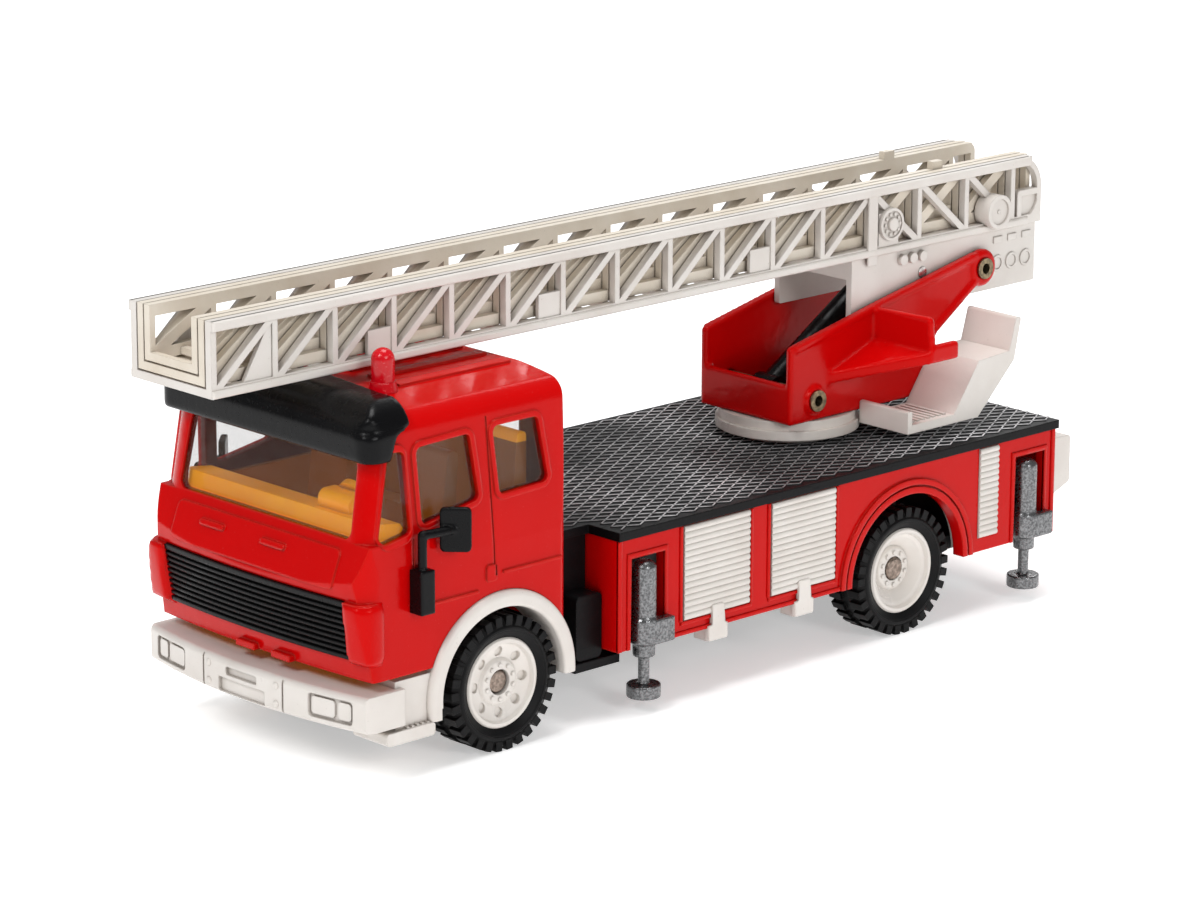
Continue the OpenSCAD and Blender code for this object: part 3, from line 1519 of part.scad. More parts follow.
// Rod with an oversize eye round the pin of the ladder bracket
module ram_rod() from_front_axle() color("#b4b4b2") along_ram()
    difference() {
        union() {
            translate([ram_len - rod_l - 2.6, 0, 0]) rotate([0, 90, 0]) cylinder(d = rod_d, h = rod_l);
            cross_bar(ram_len, 0, -eye_t / 2, eye_t / 2, 2 * eye_r);
        }
        cross_bar(ram_len, 0, -far, far, pin_d + 2 * ram_slack);
    }

// Outriggers

leg_y = body_w / 2 - 0.55;
collar_z = foot_z + 7.4;

// Jack leg on its sliding beam, made for the left side
module outrigger(x) {
    translate([x, leg_y, 0]) {
        translate([0, 0, foot_z]) cylinder(d = foot_d, h = 1.8);
        translate([0, 0, foot_z + 1]) cylinder(d = foot_d / 3, h = 5.2);
        translate([0, 0, foot_z + 5.6]) cylinder(d = leg_d - 0.3, h = 3);
        translate([0, 0, collar_z]) cylinder(d = leg_d + 0.6, h = 3.4);
        translate([0, 0, collar_z]) cylinder(d = leg_d, h = bay_top_z - 0.9 - leg_d / 4 - collar_z);
        translate([0, 0, bay_top_z - 0.9 - leg_d / 4]) intersection() {
            cylinder(d = leg_d, h = leg_d / 4);
            translate([0, 0, -leg_d / 4]) sphere(d = leg_d * 1.118);
        }
        box(-bay_w / 2 - 0.6, 0, body_w / 2 - leg_y + slide_gap, leg_d / 2 + 0.5, collar_z, collar_z + 3.4);
    }
    box(x - beam_w / 2, x + beam_w / 2, 1, leg_y, beam_z - beam_w / 2, beam_z + beam_w / 2);
}

module outrigger_front_left() from_front_axle() color("#8d9094") outrigger(front_bay_x);

module outrigger_front_right() from_front_axle() color("#8d9094")
    mirror([0, 1, 0]) outrigger(front_bay_x);

module outrigger_rear_left() from_front_axle() color("#8d9094") outrigger(rear_bay_x);

module outrigger_rear_right() from_front_axle() color("#8d9094")
    mirror([0, 1, 0]) outrigger(rear_bay_x);

chassis();
chassis_rivets();
cab_shell();
interior();
glazing();
visor();
grille();
bumper();
mirror_left();
mirror_right();
beacons();
body_shell();
shutters_left();
shutters_right();
deck();
rear_lamps();
front_axle();
front_hub_left();
front_hub_right();
front_tyre_left();
front_tyre_right();
rear_axle();
rear_hub_left();
rear_hub_right();
rear_tyre_left();
rear_tyre_right();
turntable();
turntable_clip();
cradle();
hinge_rivet();
ram_rivet();
platform();
ladder_base();
ladder_bracket();
ram_pin();
ladder_middle();
ladder_top();
ram_cylinder();
ram_rod();
outrigger_front_left();
outrigger_front_right();
outrigger_rear_left();
outrigger_rear_right();
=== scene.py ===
"""Looks of a die-cast toy fire engine with a turntable ladder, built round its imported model.

Lengths are in millimetres, apart from those that are said to be in metres. Places are counted from
the ground below the front axle's middle: x ahead, y to the left and z up.
"""

import logging
import math
from dataclasses import dataclass
from enum import Enum
from functools import lru_cache
from typing import Any, Callable, ClassVar, Iterable, Sequence

import bmesh
import bpy
from bpy.types import Material, Mesh, NodeSocket, Object
from mathutils import Matrix, Vector
from mathutils.bvhtree import BVHTree


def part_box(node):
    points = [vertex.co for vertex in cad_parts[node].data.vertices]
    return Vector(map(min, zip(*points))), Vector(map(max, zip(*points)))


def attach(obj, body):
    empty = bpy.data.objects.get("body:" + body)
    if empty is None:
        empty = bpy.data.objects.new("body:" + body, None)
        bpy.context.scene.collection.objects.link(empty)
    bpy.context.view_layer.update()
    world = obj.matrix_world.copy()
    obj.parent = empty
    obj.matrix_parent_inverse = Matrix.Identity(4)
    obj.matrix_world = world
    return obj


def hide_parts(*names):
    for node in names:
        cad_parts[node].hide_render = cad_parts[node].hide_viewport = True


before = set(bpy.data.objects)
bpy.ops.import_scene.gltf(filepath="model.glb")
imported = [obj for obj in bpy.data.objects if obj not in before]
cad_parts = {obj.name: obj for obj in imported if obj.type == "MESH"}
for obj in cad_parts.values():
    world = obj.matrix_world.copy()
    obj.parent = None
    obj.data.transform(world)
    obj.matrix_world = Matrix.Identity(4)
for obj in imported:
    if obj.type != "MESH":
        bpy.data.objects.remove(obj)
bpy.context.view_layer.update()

LOG = logging.getLogger("fire_engine")
MM = 0.001
FRONT_AXLE_X = sum(corner[0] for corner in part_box("front_axle")) / 2 / MM
SIDES = (1, -1)
TREAD_HEIGHT = 0.17

Colour = tuple[float, float, float]
Point = tuple[float, float, float]
Outline = Sequence[tuple[float, float]]
Stop = tuple[float, float]
Ramp = tuple[Stop, Stop]
Key = int | str
Sockets = dict[Key, Any]

# A ramp that keeps only the rare peaks of a noise
RARE: Ramp = ((0.72, 0.0), (0.80, 1.0))

# The sockets of a Mix node for colours, which shares their names with other kinds of data
MIX_FACTOR, MIX_FIRST, MIX_SECOND, MIX_RESULT = 0, 6, 7, 2


def linear(channel: int) -> float:
    """Turns one channel of a display colour, 0 to 255, into linear light."""
    c = channel / 255
    return c / 12.92 if c <= 0.04045 else ((c + 0.055) / 1.055) ** 2.4


def tint(red: int, green: int, blue: int) -> Colour:
    """Turns a display colour into a linear one."""
    return linear(red), linear(green), linear(blue)


def at(x: float, y: float, z: float) -> Vector:
    """A point in metres from millimetres counted from the front axle."""
    return Vector(((x + FRONT_AXLE_X) * MM, y * MM, z * MM))


def span(node: str) -> tuple[Point, Point]:
    """Low and high corner of a CAD node's box, in millimetres from the front axle."""
    low, high = ((x / MM - FRONT_AXLE_X, y / MM, z / MM) for x, y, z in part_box(node))
    return low, high


def show(name: str, data: bpy.types.ID) -> Object:
    """Puts something in the scene.

    Args:
        name: the new object's name.
        data: its mesh, lamp or camera.

    Returns:
        The object.
    """
    thing = bpy.data.objects.new(name, data)
    bpy.context.scene.collection.objects.link(thing)
    return thing


def applied(holder: Object) -> Mesh:
    """Turns an object's modifiers into a plain mesh.

    Args:
        holder: the object, which is taken away.

    Returns:
        The mesh that its modifiers make.
    """
    depsgraph = bpy.context.evaluated_depsgraph_get()
    mesh = bpy.data.meshes.new_from_object(holder.evaluated_get(depsgraph))
    source = holder.data
    holder.modifiers.clear()
    bpy.data.objects.remove(holder)
    bpy.data.meshes.remove(source)
    return mesh


def operation(name: str, swapped: bool = False) -> Callable[["Wire", Any], "Wire"]:
    """Makes the method behind an operator of a wire.

    Args:
        name: Blender's name of the operation.
        swapped: whether the wire is the second value.

    Returns:
        The method.
    """
    def method(self: "Wire", other: Any) -> "Wire":
        """Joins this value and another in a Math node."""
        return self.tree.math(name, *((other, self) if swapped else (self, other)))
    return method


class Wire:
    """An output socket that can stand in a Python expression."""

    def __init__(self, tree: "Tree", socket: NodeSocket) -> None:
        """Keeps the socket and the tree that it is in."""
        self.tree = tree
        self.socket = socket

    def out(self, key: Key) -> "Wire":
        """Another output of the same node."""
        return Wire(self.tree, self.socket.node.outputs[key])

    __add__ = operation("ADD")
    __sub__ = operation("SUBTRACT")
    __rsub__ = operation("SUBTRACT", swapped=True)
    __mul__ = operation("MULTIPLY")
    __truediv__ = operation("DIVIDE")
    __gt__ = operation("GREATER_THAN")


class Tree:
    """A node tree that is written as expressions."""

    def __init__(self, group: bpy.types.NodeTree) -> None:
        """Wraps a tree of Blender's."""
        self.group = group

    def add(self, kind: str, settings: dict[str, Any] | None = None,
            sockets: Sockets | None = None, out: Key = 0) -> Wire:
        """Adds one node.

        Args:
            kind: Blender's name of the node's type.
            settings: properties that are set first.
            sockets: values or wires of the inputs, by name or number.
            out: the output that is returned.

        Returns:
            The wire of that output.
        """
        node = self.group.nodes.new(kind)
        for key, value in (settings or {}).items():
            setattr(node, key, value)
        for key, value in (sockets or {}).items():
            self.feed(node.inputs[key], value)
        return Wire(self, node.outputs[out])

    def feed(self, socket: NodeSocket, value: Any) -> None:
        """Links a wire to an input, or sets the input's own value.

        Args:
            socket: the input.
            value: a wire or a plain value.
        """
        if isinstance(value, Wire):
            self.group.links.new(value.socket, socket)
        elif socket.type == "RGBA":
            socket.default_value = (*value, 1.0)
        else:
            socket.default_value = value

    def math(self, name: str, *values: Any) -> Wire:
        """A Math node on values and wires."""
        return self.add("ShaderNodeMath", {"operation": name}, dict(enumerate(values)))


class Shade(Tree):
    """The node tree of one material.

    Attributes:
        samples: rays that feel for edges and corners.
        edges: ramp from flat faces to edges.
        corners: ramp from open faces to corners.
    """

    samples: int = 4
    edges: Ramp = ((0.02, 0.0), (0.3, 1.0))
    corners: Ramp = ((0.25, 0.0), (0.9, 1.0))

    def __init__(self, name: str) -> None:
        """Starts an empty material.

        Args:
            name: the material's name.
        """
        self.material = bpy.data.materials.new(name)
        self.material.use_nodes = True
        super().__init__(self.material.node_tree)
        self.group.nodes.clear()
        self.place = self.add("ShaderNodeTexCoord", out="Object")

    def axes(self) -> list[Wire]:
        """The place along each axis, in millimetres."""
        return [self.add("ShaderNodeSeparateXYZ", None, {0: self.place}, i) / MM for i in range(3)]

    def noise(self, size: float, detail: float = 2.0, stretch: Point = (1, 1, 1)) -> Wire:
        """Soft noise from 0 to 1.

        Args:
            size: width of one blotch.
            detail: how many finer layers are added.
            stretch: scale of the pattern along each axis.

        Returns:
            The noise's value.
        """
        place = self.place
        if stretch != (1, 1, 1):
            place = self.add("ShaderNodeMapping", None, {"Vector": place, "Scale": stretch})
        return self.add("ShaderNodeTexNoise", None,
                        {"Vector": place, "Scale": 1 / (size * MM), "Detail": detail})

    def ramp(self, value: Wire, first: Stop, last: Stop) -> Wire:
        """A grey ramp over a value.

        Args:
            value: what the ramp reads.
            first: place and level of its lower stop.
            last: place and level of its upper stop.

        Returns:
            The ramp's level.
        """
        grey = self.add("ShaderNodeValToRGB", None, {"Fac": value})
        for element, (place, level) in zip(grey.socket.node.color_ramp.elements, (first, last)):
            element.position = place
            element.color = (level, level, level, 1.0)
        return grey

    def blend(self, factor: Any, first: Any, second: Any) -> Wire:
        """Mixes two colours or wires, by a factor that is the share of the second."""
        return self.add("ShaderNodeMix", {"data_type": "RGBA"},
                        {MIX_FACTOR: factor, MIX_FIRST: first, MIX_SECOND: second}, MIX_RESULT)

    def soft_edges(self, radius: float) -> Wire:
        """Normals that run round the edges of a casting, radius in millimetres."""
        return self.add("ShaderNodeBevel", {"samples": self.samples}, {"Radius": radius * MM})

    def edge_mask(self, rounded: Wire) -> Wire:
        """Finds edges and corners.

        Args:
            rounded: normals that run round them.

        Returns:
            About 1 on edges and corners, and 0 on flat faces.
        """
        flat = self.add("ShaderNodeNewGeometry", out="Normal")
        same = self.add("ShaderNodeVectorMath", {"operation": "DOT_PRODUCT"},
                        {0: rounded, 1: flat}, "Value")
        return self.ramp(1 - same, *self.edges)

    def corner_mask(self, reach: float, alone: bool = False) -> Wire:
        """About 1 in corners, up to a reach in millimetres; alone leaves other pieces out."""
        open_sky = self.add("ShaderNodeAmbientOcclusion",
                            {"samples": self.samples, "only_local": alone},
                            {"Distance": reach * MM}, "AO")
        return self.ramp(1 - open_sky, *self.corners)

    def bump(self, height: Wire, depth: float, normal: Wire) -> Wire:
        """A relief on top of other normals, depth in millimetres."""
        return self.add("ShaderNodeBump", None,
                        {"Height": height, "Distance": depth * MM, "Normal": normal})

    def close(self, sockets: Sockets) -> Material:
        """Adds the surface shader and the output.

        Args:
            sockets: inputs of the surface shader.

        Returns:
            The finished material.
        """
        surface = self.add("ShaderNodeBsdfPrincipled", None, sockets)
        output = self.group.nodes.new("ShaderNodeOutputMaterial")
        self.feed(output.inputs["Surface"], surface)
        return self.material


@dataclass(frozen=True)
class Finish:
    """What every finish has.

    Attributes:
        slot: the record's material slot.
        colour: main colour.
        roughness: mean roughness.
        edge: radius that edges are rounded by.
        hollow: reach of the corner mask, which paints shade into the corners of paint, plastic and
            metal, and lays dust in the corners of rubber.
        shine: level of its reflection.
    """

    slot: str
    colour: Colour
    roughness: float
    edge: float = 0.15
    hollow: float = 0.6
    shine: float = 0.5

    @lru_cache(maxsize=None)
    def material(self) -> Material:
        """Makes the material, the first time that it is asked for.

        Returns:
            The material.
        """
        shade = Shade(self.slot)
        sockets = self.surface(shade, shade.soft_edges(self.edge))
        return shade.close({"Specular IOR Level": self.shine, **sockets})

    def surface(self, shade: Shade, rounded: Wire) -> Sockets:
        """Writes the nodes of the surface; each kind of finish has its own.

        Args:
            shade: the material's node tree.
            rounded: normals that run round the edges.

        Returns:
            Inputs of the surface shader.
        """
        raise NotImplementedError


@dataclass(frozen=True)
class Enamel(Finish):
    """Gloss paint over a casting.

    Attributes:
        deep: colour of the painted shade in corners and creases.
        corner_shade: how strongly that painted shade darkens the corners.
        edge_highlight_and_wear: colour of the painted highlight on edges, which also stands for
            paint rubbed thin there.
        glint_and_wear: how strong that painted edge highlight and rubbing are.
        dusty: colour of the dust in it.
        speck: width of a speck of dust.
        dustiness: how much the dust shows.
        cloud: width of the patches that its colour drifts in.
        drift: how far the colour drifts.
        dimmed: share of the colour that is left in the darkest patches.
        waves: widths of the fine and the broad ripple in its skin.
        swell: height of the broad ripple, as a multiple of the fine one's.
        peel: depth of the ripple.
        smear: width of the patches that its gloss varies in.
        uneven: how far the roughness varies in them.
        matt: roughness that a speck of dust adds.
        sheen: tint of its reflection.
    """

    deep: Colour = tint(70, 0, 4)
    corner_shade: float = 0.8
    edge_highlight_and_wear: Colour = tint(240, 74, 60)
    glint_and_wear: float = 0.9
    dusty: Colour = (0.8, 0.5, 0.45)
    speck: float = 0.22
    dustiness: float = 0.05
    cloud: float = 9.0
    drift: float = 0.4
    dimmed: float = 0.82
    hollow: float = 1.3
    waves: tuple[float, float] = (1.3, 6.0)
    swell: float = 2.0
    peel: float = 0.03
    smear: float = 3.0
    uneven: float = 0.1
    matt: float = 0.12
    shine: float = 0.26
    sheen: Colour = (1.0, 0.3, 0.26)

    def surface(self, shade: Shade, rounded: Wire) -> Sockets:
        """Paint with a little orange peel, dust specks, painted shade in corners and a painted
        highlight on rubbed edges.

        Args:
            shade: the material's node tree.
            rounded: normals that run round the edges.

        Returns:
            Inputs of the surface shader.
        """
        cloud = shade.noise(self.cloud)
        dust = shade.ramp(shade.noise(self.speck, detail=1.0), *RARE)
        darker = tuple(self.dimmed * c for c in self.colour)
        colour = shade.blend(cloud * self.drift, self.colour, darker)
        # Painted shade: corners and creases darken towards the deep red.
        colour = shade.blend(shade.corner_mask(self.hollow) * self.corner_shade, colour, self.deep)
        # Painted highlight: edges lighten in patches, partly as paint rubbed thin.
        colour = shade.blend(shade.edge_mask(rounded) * cloud * self.glint_and_wear, colour, self.edge_highlight_and_wear)
        colour = shade.blend(dust * self.dustiness, colour, self.dusty)
        fine, broad = (shade.noise(width, detail=1.0) for width in self.waves)
        rough = shade.noise(self.smear) * self.uneven + dust * self.matt
        return {
            "Base Color": colour,
            "Roughness": rough + (self.roughness - self.uneven / 2),
            "Normal": shade.bump(fine + broad * self.swell, self.peel, rounded),
            "Specular Tint": self.sheen,
        }


@dataclass(frozen=True)
class Moulding(Finish):
    """Moulded plastic.

    Attributes:
        shade_and_dirt_colour: colour of the painted shade in corners, and of the specks of dirt.
        shade_and_dirt: how strong that painted shade and the dirt are.
        speck: width of a speck of it on a face.
        specked: share of that strength that goes to specks of dirt on faces.
        aged: colour that the plastic drifts to in patches.
        patch: width of the aged patches.
        ageing: ramp of a patch from new to aged.
        grain: size of the surface grain.
        depth: depth of the grain.
        scratch: width of a hair scratch.
        drawn: scale of the scratches along each axis.
        scratches: ramp that picks the scratches out of a noise.
        uneven: how far the roughness varies in the patches.
        scuffed: roughness that a scratch adds.
        painted_emission: a painted glow, light that the plastic gives off by itself in place of
            light passing through it from behind.
        dusk: where light still falls on it, where none does, both along the truck, and the
            height above which it is lit anyway.
    """

    shade_and_dirt_colour: Colour = (0.1, 0.08, 0.06)
    shade_and_dirt: float = 0.5
    speck: float = 0.3
    specked: float = 0.25
    aged: Colour = (0.8, 0.7, 0.6)
    patch: float = 7.0
    ageing: Ramp = ((0.35, 0.0), (0.75, 1.0))
    grain: float = 0.6
    depth: float = 0.012
    scratch: float = 0.5
    drawn: Point = (0.12, 1.0, 1.0)
    scratches: Ramp = ((0.62, 0.0), (0.68, 1.0))
    uneven: float = 0.2
    scuffed: float = 0.12
    painted_emission: float = 0.0
    shine: float = 0.4
    hollow: float = 1.4
    dusk: tuple[float, ...] = ()

    def surface(self, shade: Shade, rounded: Wire) -> Sockets:
        """Plastic with patches, fine grain, hair scratches, specks of dirt, painted shade in the
        corners and, where set, a painted glow.

        Args:
            shade: the material's node tree.
            rounded: normals that run round the edges.

        Returns:
            Inputs of the surface shader.
        """
        patch = shade.noise(self.patch, detail=3.0)
        scratch = shade.ramp(shade.noise(self.scratch, stretch=self.drawn), *self.scratches)
        speck = shade.ramp(shade.noise(self.speck, detail=1.0), *RARE)
        in_corners = shade.corner_mask(self.hollow, alone=bool(self.dusk))
        colour = shade.blend(shade.ramp(patch, *self.ageing), self.colour, self.aged)
        # Painted shade: corners and creases darken towards the shade-and-dirt colour.
        colour = shade.blend(in_corners * self.shade_and_dirt, colour, self.shade_and_dirt_colour)
        # Painted shade: the cab's inside darkens towards the back, except above the given height.
        if self.dusk:
            lit, dark, high = self.dusk
            x, _, z = shade.axes()
            back = shade.ramp((x - (FRONT_AXLE_X + dark)) / (lit - dark), (0.0, 1.0), (1.0, 0.0))
            colour = shade.blend(back * (1 - (z > high)) * self.shade_and_dirt, colour, self.shade_and_dirt_colour)
        # Specks of dirt on faces, in the same colour.
        colour = shade.blend(speck * (self.shade_and_dirt * self.specked), colour, self.shade_and_dirt_colour)
        rough = patch * self.uneven + scratch * self.scuffed
        return {
            "Base Color": colour,
            # Painted glow: the plastic gives off light of its own colour.
            "Emission Color": colour,
            "Emission Strength": self.painted_emission,
            "Roughness": rough + (self.roughness - self.uneven / 2),
            "Normal": shade.bump(shade.noise(self.grain), self.depth, rounded),
        }


@dataclass(frozen=True)
class PaintedGlintTread(Finish):
    """Black plastic whose ridges are lightened at the crest: a painted glint, partly rubbed wear.

    Attributes:
        crest: colour of the painted glint on the crests, which also stands for rubbing.
        foot_z: height of the plate that the ridges stand on.
        height: height of a ridge.
        crest_glint_ramp: ramp of the painted glint from a ridge's foot to its crest.
        patch: width of the patches where the painted glint is strongest.
        patches: ramp of such a patch.
        dot: width of the small spots in them.
        dots: ramp of the spots.
        polish: roughness that is taken away where the crests glint and are worn.
    """

    crest: Colour = tint(236, 234, 236)
    foot_z: float = span("deck")[1][2]
    height: float = TREAD_HEIGHT
    crest_glint_ramp: Ramp = ((0.5, 0.0), (0.9, 1.0))
    patch: float = 26.0
    patches: Ramp = ((0.36, 0.25), (0.58, 1.0))
    dot: float = 1.6
    dots: Ramp = ((0.3, 0.4), (0.6, 1.0))
    polish: float = 0.12
    shine: float = 0.35

    def surface(self, shade: Shade, rounded: Wire) -> Sockets:
        """Ridges that are black at the foot and carry a painted glint in patches at the crest.

        Args:
            shade: the material's node tree.
            rounded: normals that run round the edges.

        Returns:
            Inputs of the surface shader.
        """
        # Painted glint: crests lighten in patches towards the top of each ridge.
        rise = (shade.axes()[2] - self.foot_z) / self.height
        patch = shade.ramp(shade.noise(self.patch, detail=1.0), *self.patches)
        dots = shade.ramp(shade.noise(self.dot), *self.dots)
        glint_and_wear = shade.ramp(rise, *self.crest_glint_ramp) * dots * patch
        return {
            "Base Color": shade.blend(glint_and_wear, self.colour, self.crest),
            "Roughness": self.roughness - glint_and_wear * self.polish,
            "Normal": rounded,
        }


@dataclass(frozen=True)
class Rubber(Finish):
    """Tyre rubber.

    Attributes:
        dust: colour of the dust that sits on it.
        patch: width of the dusty patches.
        settled: how much dust lies in corners.
        caught: how much dust lies on edges.
        uneven: how far the roughness varies in the patches.
        slick: how far the smoothest patch is below the mean roughness.
        grain: size of the surface grain.
        depth: depth of the grain.
    """

    dust: Colour = (0.05, 0.046, 0.042)
    patch: float = 2.5
    settled: float = 0.8
    caught: float = 0.15
    uneven: float = 0.25
    slick: float = 0.12
    grain: float = 0.25
    depth: float = 0.02
    shine: float = 0.15

    def surface(self, shade: Shade, rounded: Wire) -> Sockets:
        """Dull rubber with fine grain and dust in the tread.

        Args:
            shade: the material's node tree.
            rounded: normals that run round the edges.

        Returns:
            Inputs of the surface shader.
        """
        patch = shade.noise(self.patch, detail=4.0)
        in_corners = shade.corner_mask(self.hollow) * patch * self.settled
        dusty = in_corners + shade.edge_mask(rounded) * self.caught
        return {
            "Base Color": shade.blend(dusty, self.colour, self.dust),
            "Roughness": patch * self.uneven + (self.roughness - self.slick),
            "Normal": shade.bump(shade.noise(self.grain), self.depth, rounded),
        }


@dataclass(frozen=True)
class BareMetal(Finish):
    """Metal that is left bare.

    Attributes:
        dull: colour of its tarnish.
        tarnish: how much of it there is.
        grain: size of the speckle.
        speckles: ramp of the speckle, from bright to dull.
        shade_and_dirt: how far painted shade darkens its corners.
        dimmed: share of the tarnish's colour that the painted shade keeps.
        oxide: share of the metal that the tarnish hides.
        uneven: how far the roughness varies in the speckle.
        slick: how far the brightest speckle is below the mean roughness.
        pit: width of a pit, as a share of the speckle's size.
        depth: depth of the pits.
    """

    dull: Colour = (0.2, 0.2, 0.2)
    tarnish: float = 0.7
    grain: float = 0.4
    speckles: Ramp = ((0.38, 0.0), (0.66, 1.0))
    shade_and_dirt: float = 0.7
    dimmed: float = 0.3
    oxide: float = 0.25
    uneven: float = 0.22
    slick: float = 0.08
    pit: float = 0.6
    depth: float = 0.02

    def surface(self, shade: Shade, rounded: Wire) -> Sockets:
        """Speckled metal, with painted shade in its corners.

        Args:
            shade: the material's node tree.
            rounded: normals that run round the edges.

        Returns:
            Inputs of the surface shader.
        """
        speckle = shade.ramp(shade.noise(self.grain, detail=3.0), *self.speckles)
        colour = shade.blend(speckle * self.tarnish, self.colour, self.dull)
        # Painted shade: corners darken towards a dimmed tarnish.
        shadow = tuple(self.dimmed * c for c in self.dull)
        colour = shade.blend(shade.corner_mask(self.hollow) * self.shade_and_dirt, colour, shadow)
        return {
            "Base Color": colour,
            "Metallic": 1 - speckle * self.oxide,
            "Roughness": speckle * self.uneven + (self.roughness - self.slick),
            "Normal": shade.bump(shade.noise(self.grain * self.pit), self.depth, rounded),
        }


@dataclass(frozen=True)
class ClearPlastic(Finish):
    """Clear moulding.

    Attributes:
        haze: least share of light that the surface holds back.
        rim: further share where it is seen edge on.
        grazing: how far the rim reaches in.
        specks: how much the small flaws show.
        flaw: width of a flaw.
        flaws: ramp that picks the flaws out of a noise.
        pale: colour of a flaw.
        veil: share of light that a flaw holds back.
        frosted: roughness that a flaw adds.
        wave: width of the waves in its face.
        depth: depth of the waves.
        coat: share of the clear outer skin.
        coat_roughness: roughness of that skin.
    """

    haze: float = 0.2
    rim: float = 0.5
    grazing: float = 0.35
    specks: float = 0.3
    flaw: float = 0.35
    flaws: Ramp = ((0.62, 0.0), (0.72, 1.0))
    pale: Colour = (0.8, 0.75, 0.7)
    veil: float = 0.2
    frosted: float = 0.2
    wave: float = 4.0
    depth: float = 0.05
    shine: float = 0.9
    coat: float = 1.0
    coat_roughness: float = 0.04

    def surface(self, shade: Shade, rounded: Wire) -> Sockets:
        """Tinted plastic with moulding flaws.

        Args:
            shade: the material's node tree.
            rounded: normals that run round the edges.

        Returns:
            Inputs of the surface shader.
        """
        flaw = shade.ramp(shade.noise(self.flaw), *self.flaws)
        rim = shade.add("ShaderNodeLayerWeight", None, {"Blend": self.grazing}, "Facing")
        cover = rim * rim * self.rim + flaw * (self.veil * self.specks) + self.haze
        return {
            "Base Color": shade.blend(flaw * self.specks, self.colour, self.pale),
            "Roughness": flaw * self.frosted + self.roughness,
            "Alpha": shade.math("MINIMUM", cover, 1.0),
            "Normal": shade.bump(shade.noise(self.wave, detail=1.0), self.depth, rounded),
            "Coat Weight": self.coat,
            "Coat Roughness": self.coat_roughness,
        }


class Look(Enum):
    """Every finish on the toy."""

    RED_PAINT = Enamel("red_paint", tint(198, 4, 5), roughness=0.16, edge=0.4)
    WHITE = Moulding("white_plastic", tint(222, 217, 211), roughness=0.32, edge=0.2,
                     shade_and_dirt_colour=tint(118, 104, 92), shade_and_dirt=0.8, aged=tint(212, 205, 198))
    CREAM = Moulding("cream_plastic", tint(224, 215, 201), roughness=0.42, edge=0.14,
                     shade_and_dirt_colour=tint(104, 88, 70), shade_and_dirt=0.68, aged=tint(210, 198, 180))
    # A copy of the white plastic, a little lighter and with less painted shade, for the hubs and
    # the turntable.
    HUB = Moulding("white_plastic", tint(226, 221, 215), roughness=0.3, edge=0.25,
                   shade_and_dirt_colour=tint(168, 156, 143), shade_and_dirt=0.35, aged=tint(217, 210, 202))
    BLACK_GLOSS = Moulding("black_gloss", tint(7, 7, 9), roughness=0.24, edge=0.4,
                           shade_and_dirt_colour=tint(20, 19, 18), shade_and_dirt=0.3, aged=tint(11, 11, 12),
                           grain=0.9, depth=0.02, shine=0.14)
    BLACK_MATTE = Moulding("black_matte", tint(10, 10, 11), roughness=0.4, edge=0.25,
                           shade_and_dirt_colour=tint(26, 24, 22), shade_and_dirt=0.4, aged=tint(15, 14, 16),
                           grain=0.4, depth=0.02, shine=0.12)
    TREAD = PaintedGlintTread("black_matte", tint(11, 11, 12), roughness=0.34, edge=0.08)
    # The cab's inside, with painted shade towards the back and a painted glow.
    AMBER = Moulding("amber_plastic", tint(252, 172, 12), roughness=0.35, edge=0.16,
                     shade_and_dirt_colour=tint(104, 54, 14), shade_and_dirt=0.9, aged=tint(244, 154, 6),
                     painted_emission=0.36, dusk=(14.3, 12.8, 38.7))
    CLEAR = ClearPlastic("clear_plastic", tint(70, 52, 40), roughness=0.05, edge=0.2,
                         haze=0.14, rim=0.25)
    RED_CLEAR = ClearPlastic("red_clear", tint(206, 0, 20), roughness=0.12, edge=0.3,
                             haze=0.92, rim=0.06, specks=0.05, shine=0.3, coat=0.2)
    RUBBER = Rubber("tyre_rubber", tint(9, 9, 10), roughness=0.46, edge=0.16)
    STEEL = BareMetal("steel", (0.3, 0.24, 0.2), roughness=0.3, edge=0.08,
                      dull=(0.12, 0.09, 0.07), grain=0.6)
    BRIGHT = BareMetal("steel", (0.7, 0.69, 0.67), roughness=0.16, edge=0.1,
                       dull=(0.4, 0.39, 0.38), grain=1.2)
    RIVET = BareMetal("rivet_metal", (0.3, 0.23, 0.14), roughness=0.36, edge=0.12,
                      dull=(0.07, 0.055, 0.035), grain=0.5)
    ZINC = BareMetal("zinc", (0.23, 0.233, 0.238), roughness=0.26, edge=0.3,
                     dull=(0.045, 0.046, 0.048), grain=0.3)


def add_piece(name: str, mesh: Mesh, look: Look, body: str) -> Object:
    """Adds a finished mesh as a piece.

    Args:
        name: the piece's name.
        mesh: its mesh, already in place.
        look: its finish.
        body: the CAD body that it moves with.

    Returns:
        The new object.
    """
    mesh.name = name
    mesh.materials.clear()
    mesh.materials.append(look.value.material())
    piece = show(name, mesh)
    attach(piece, body)
    return piece


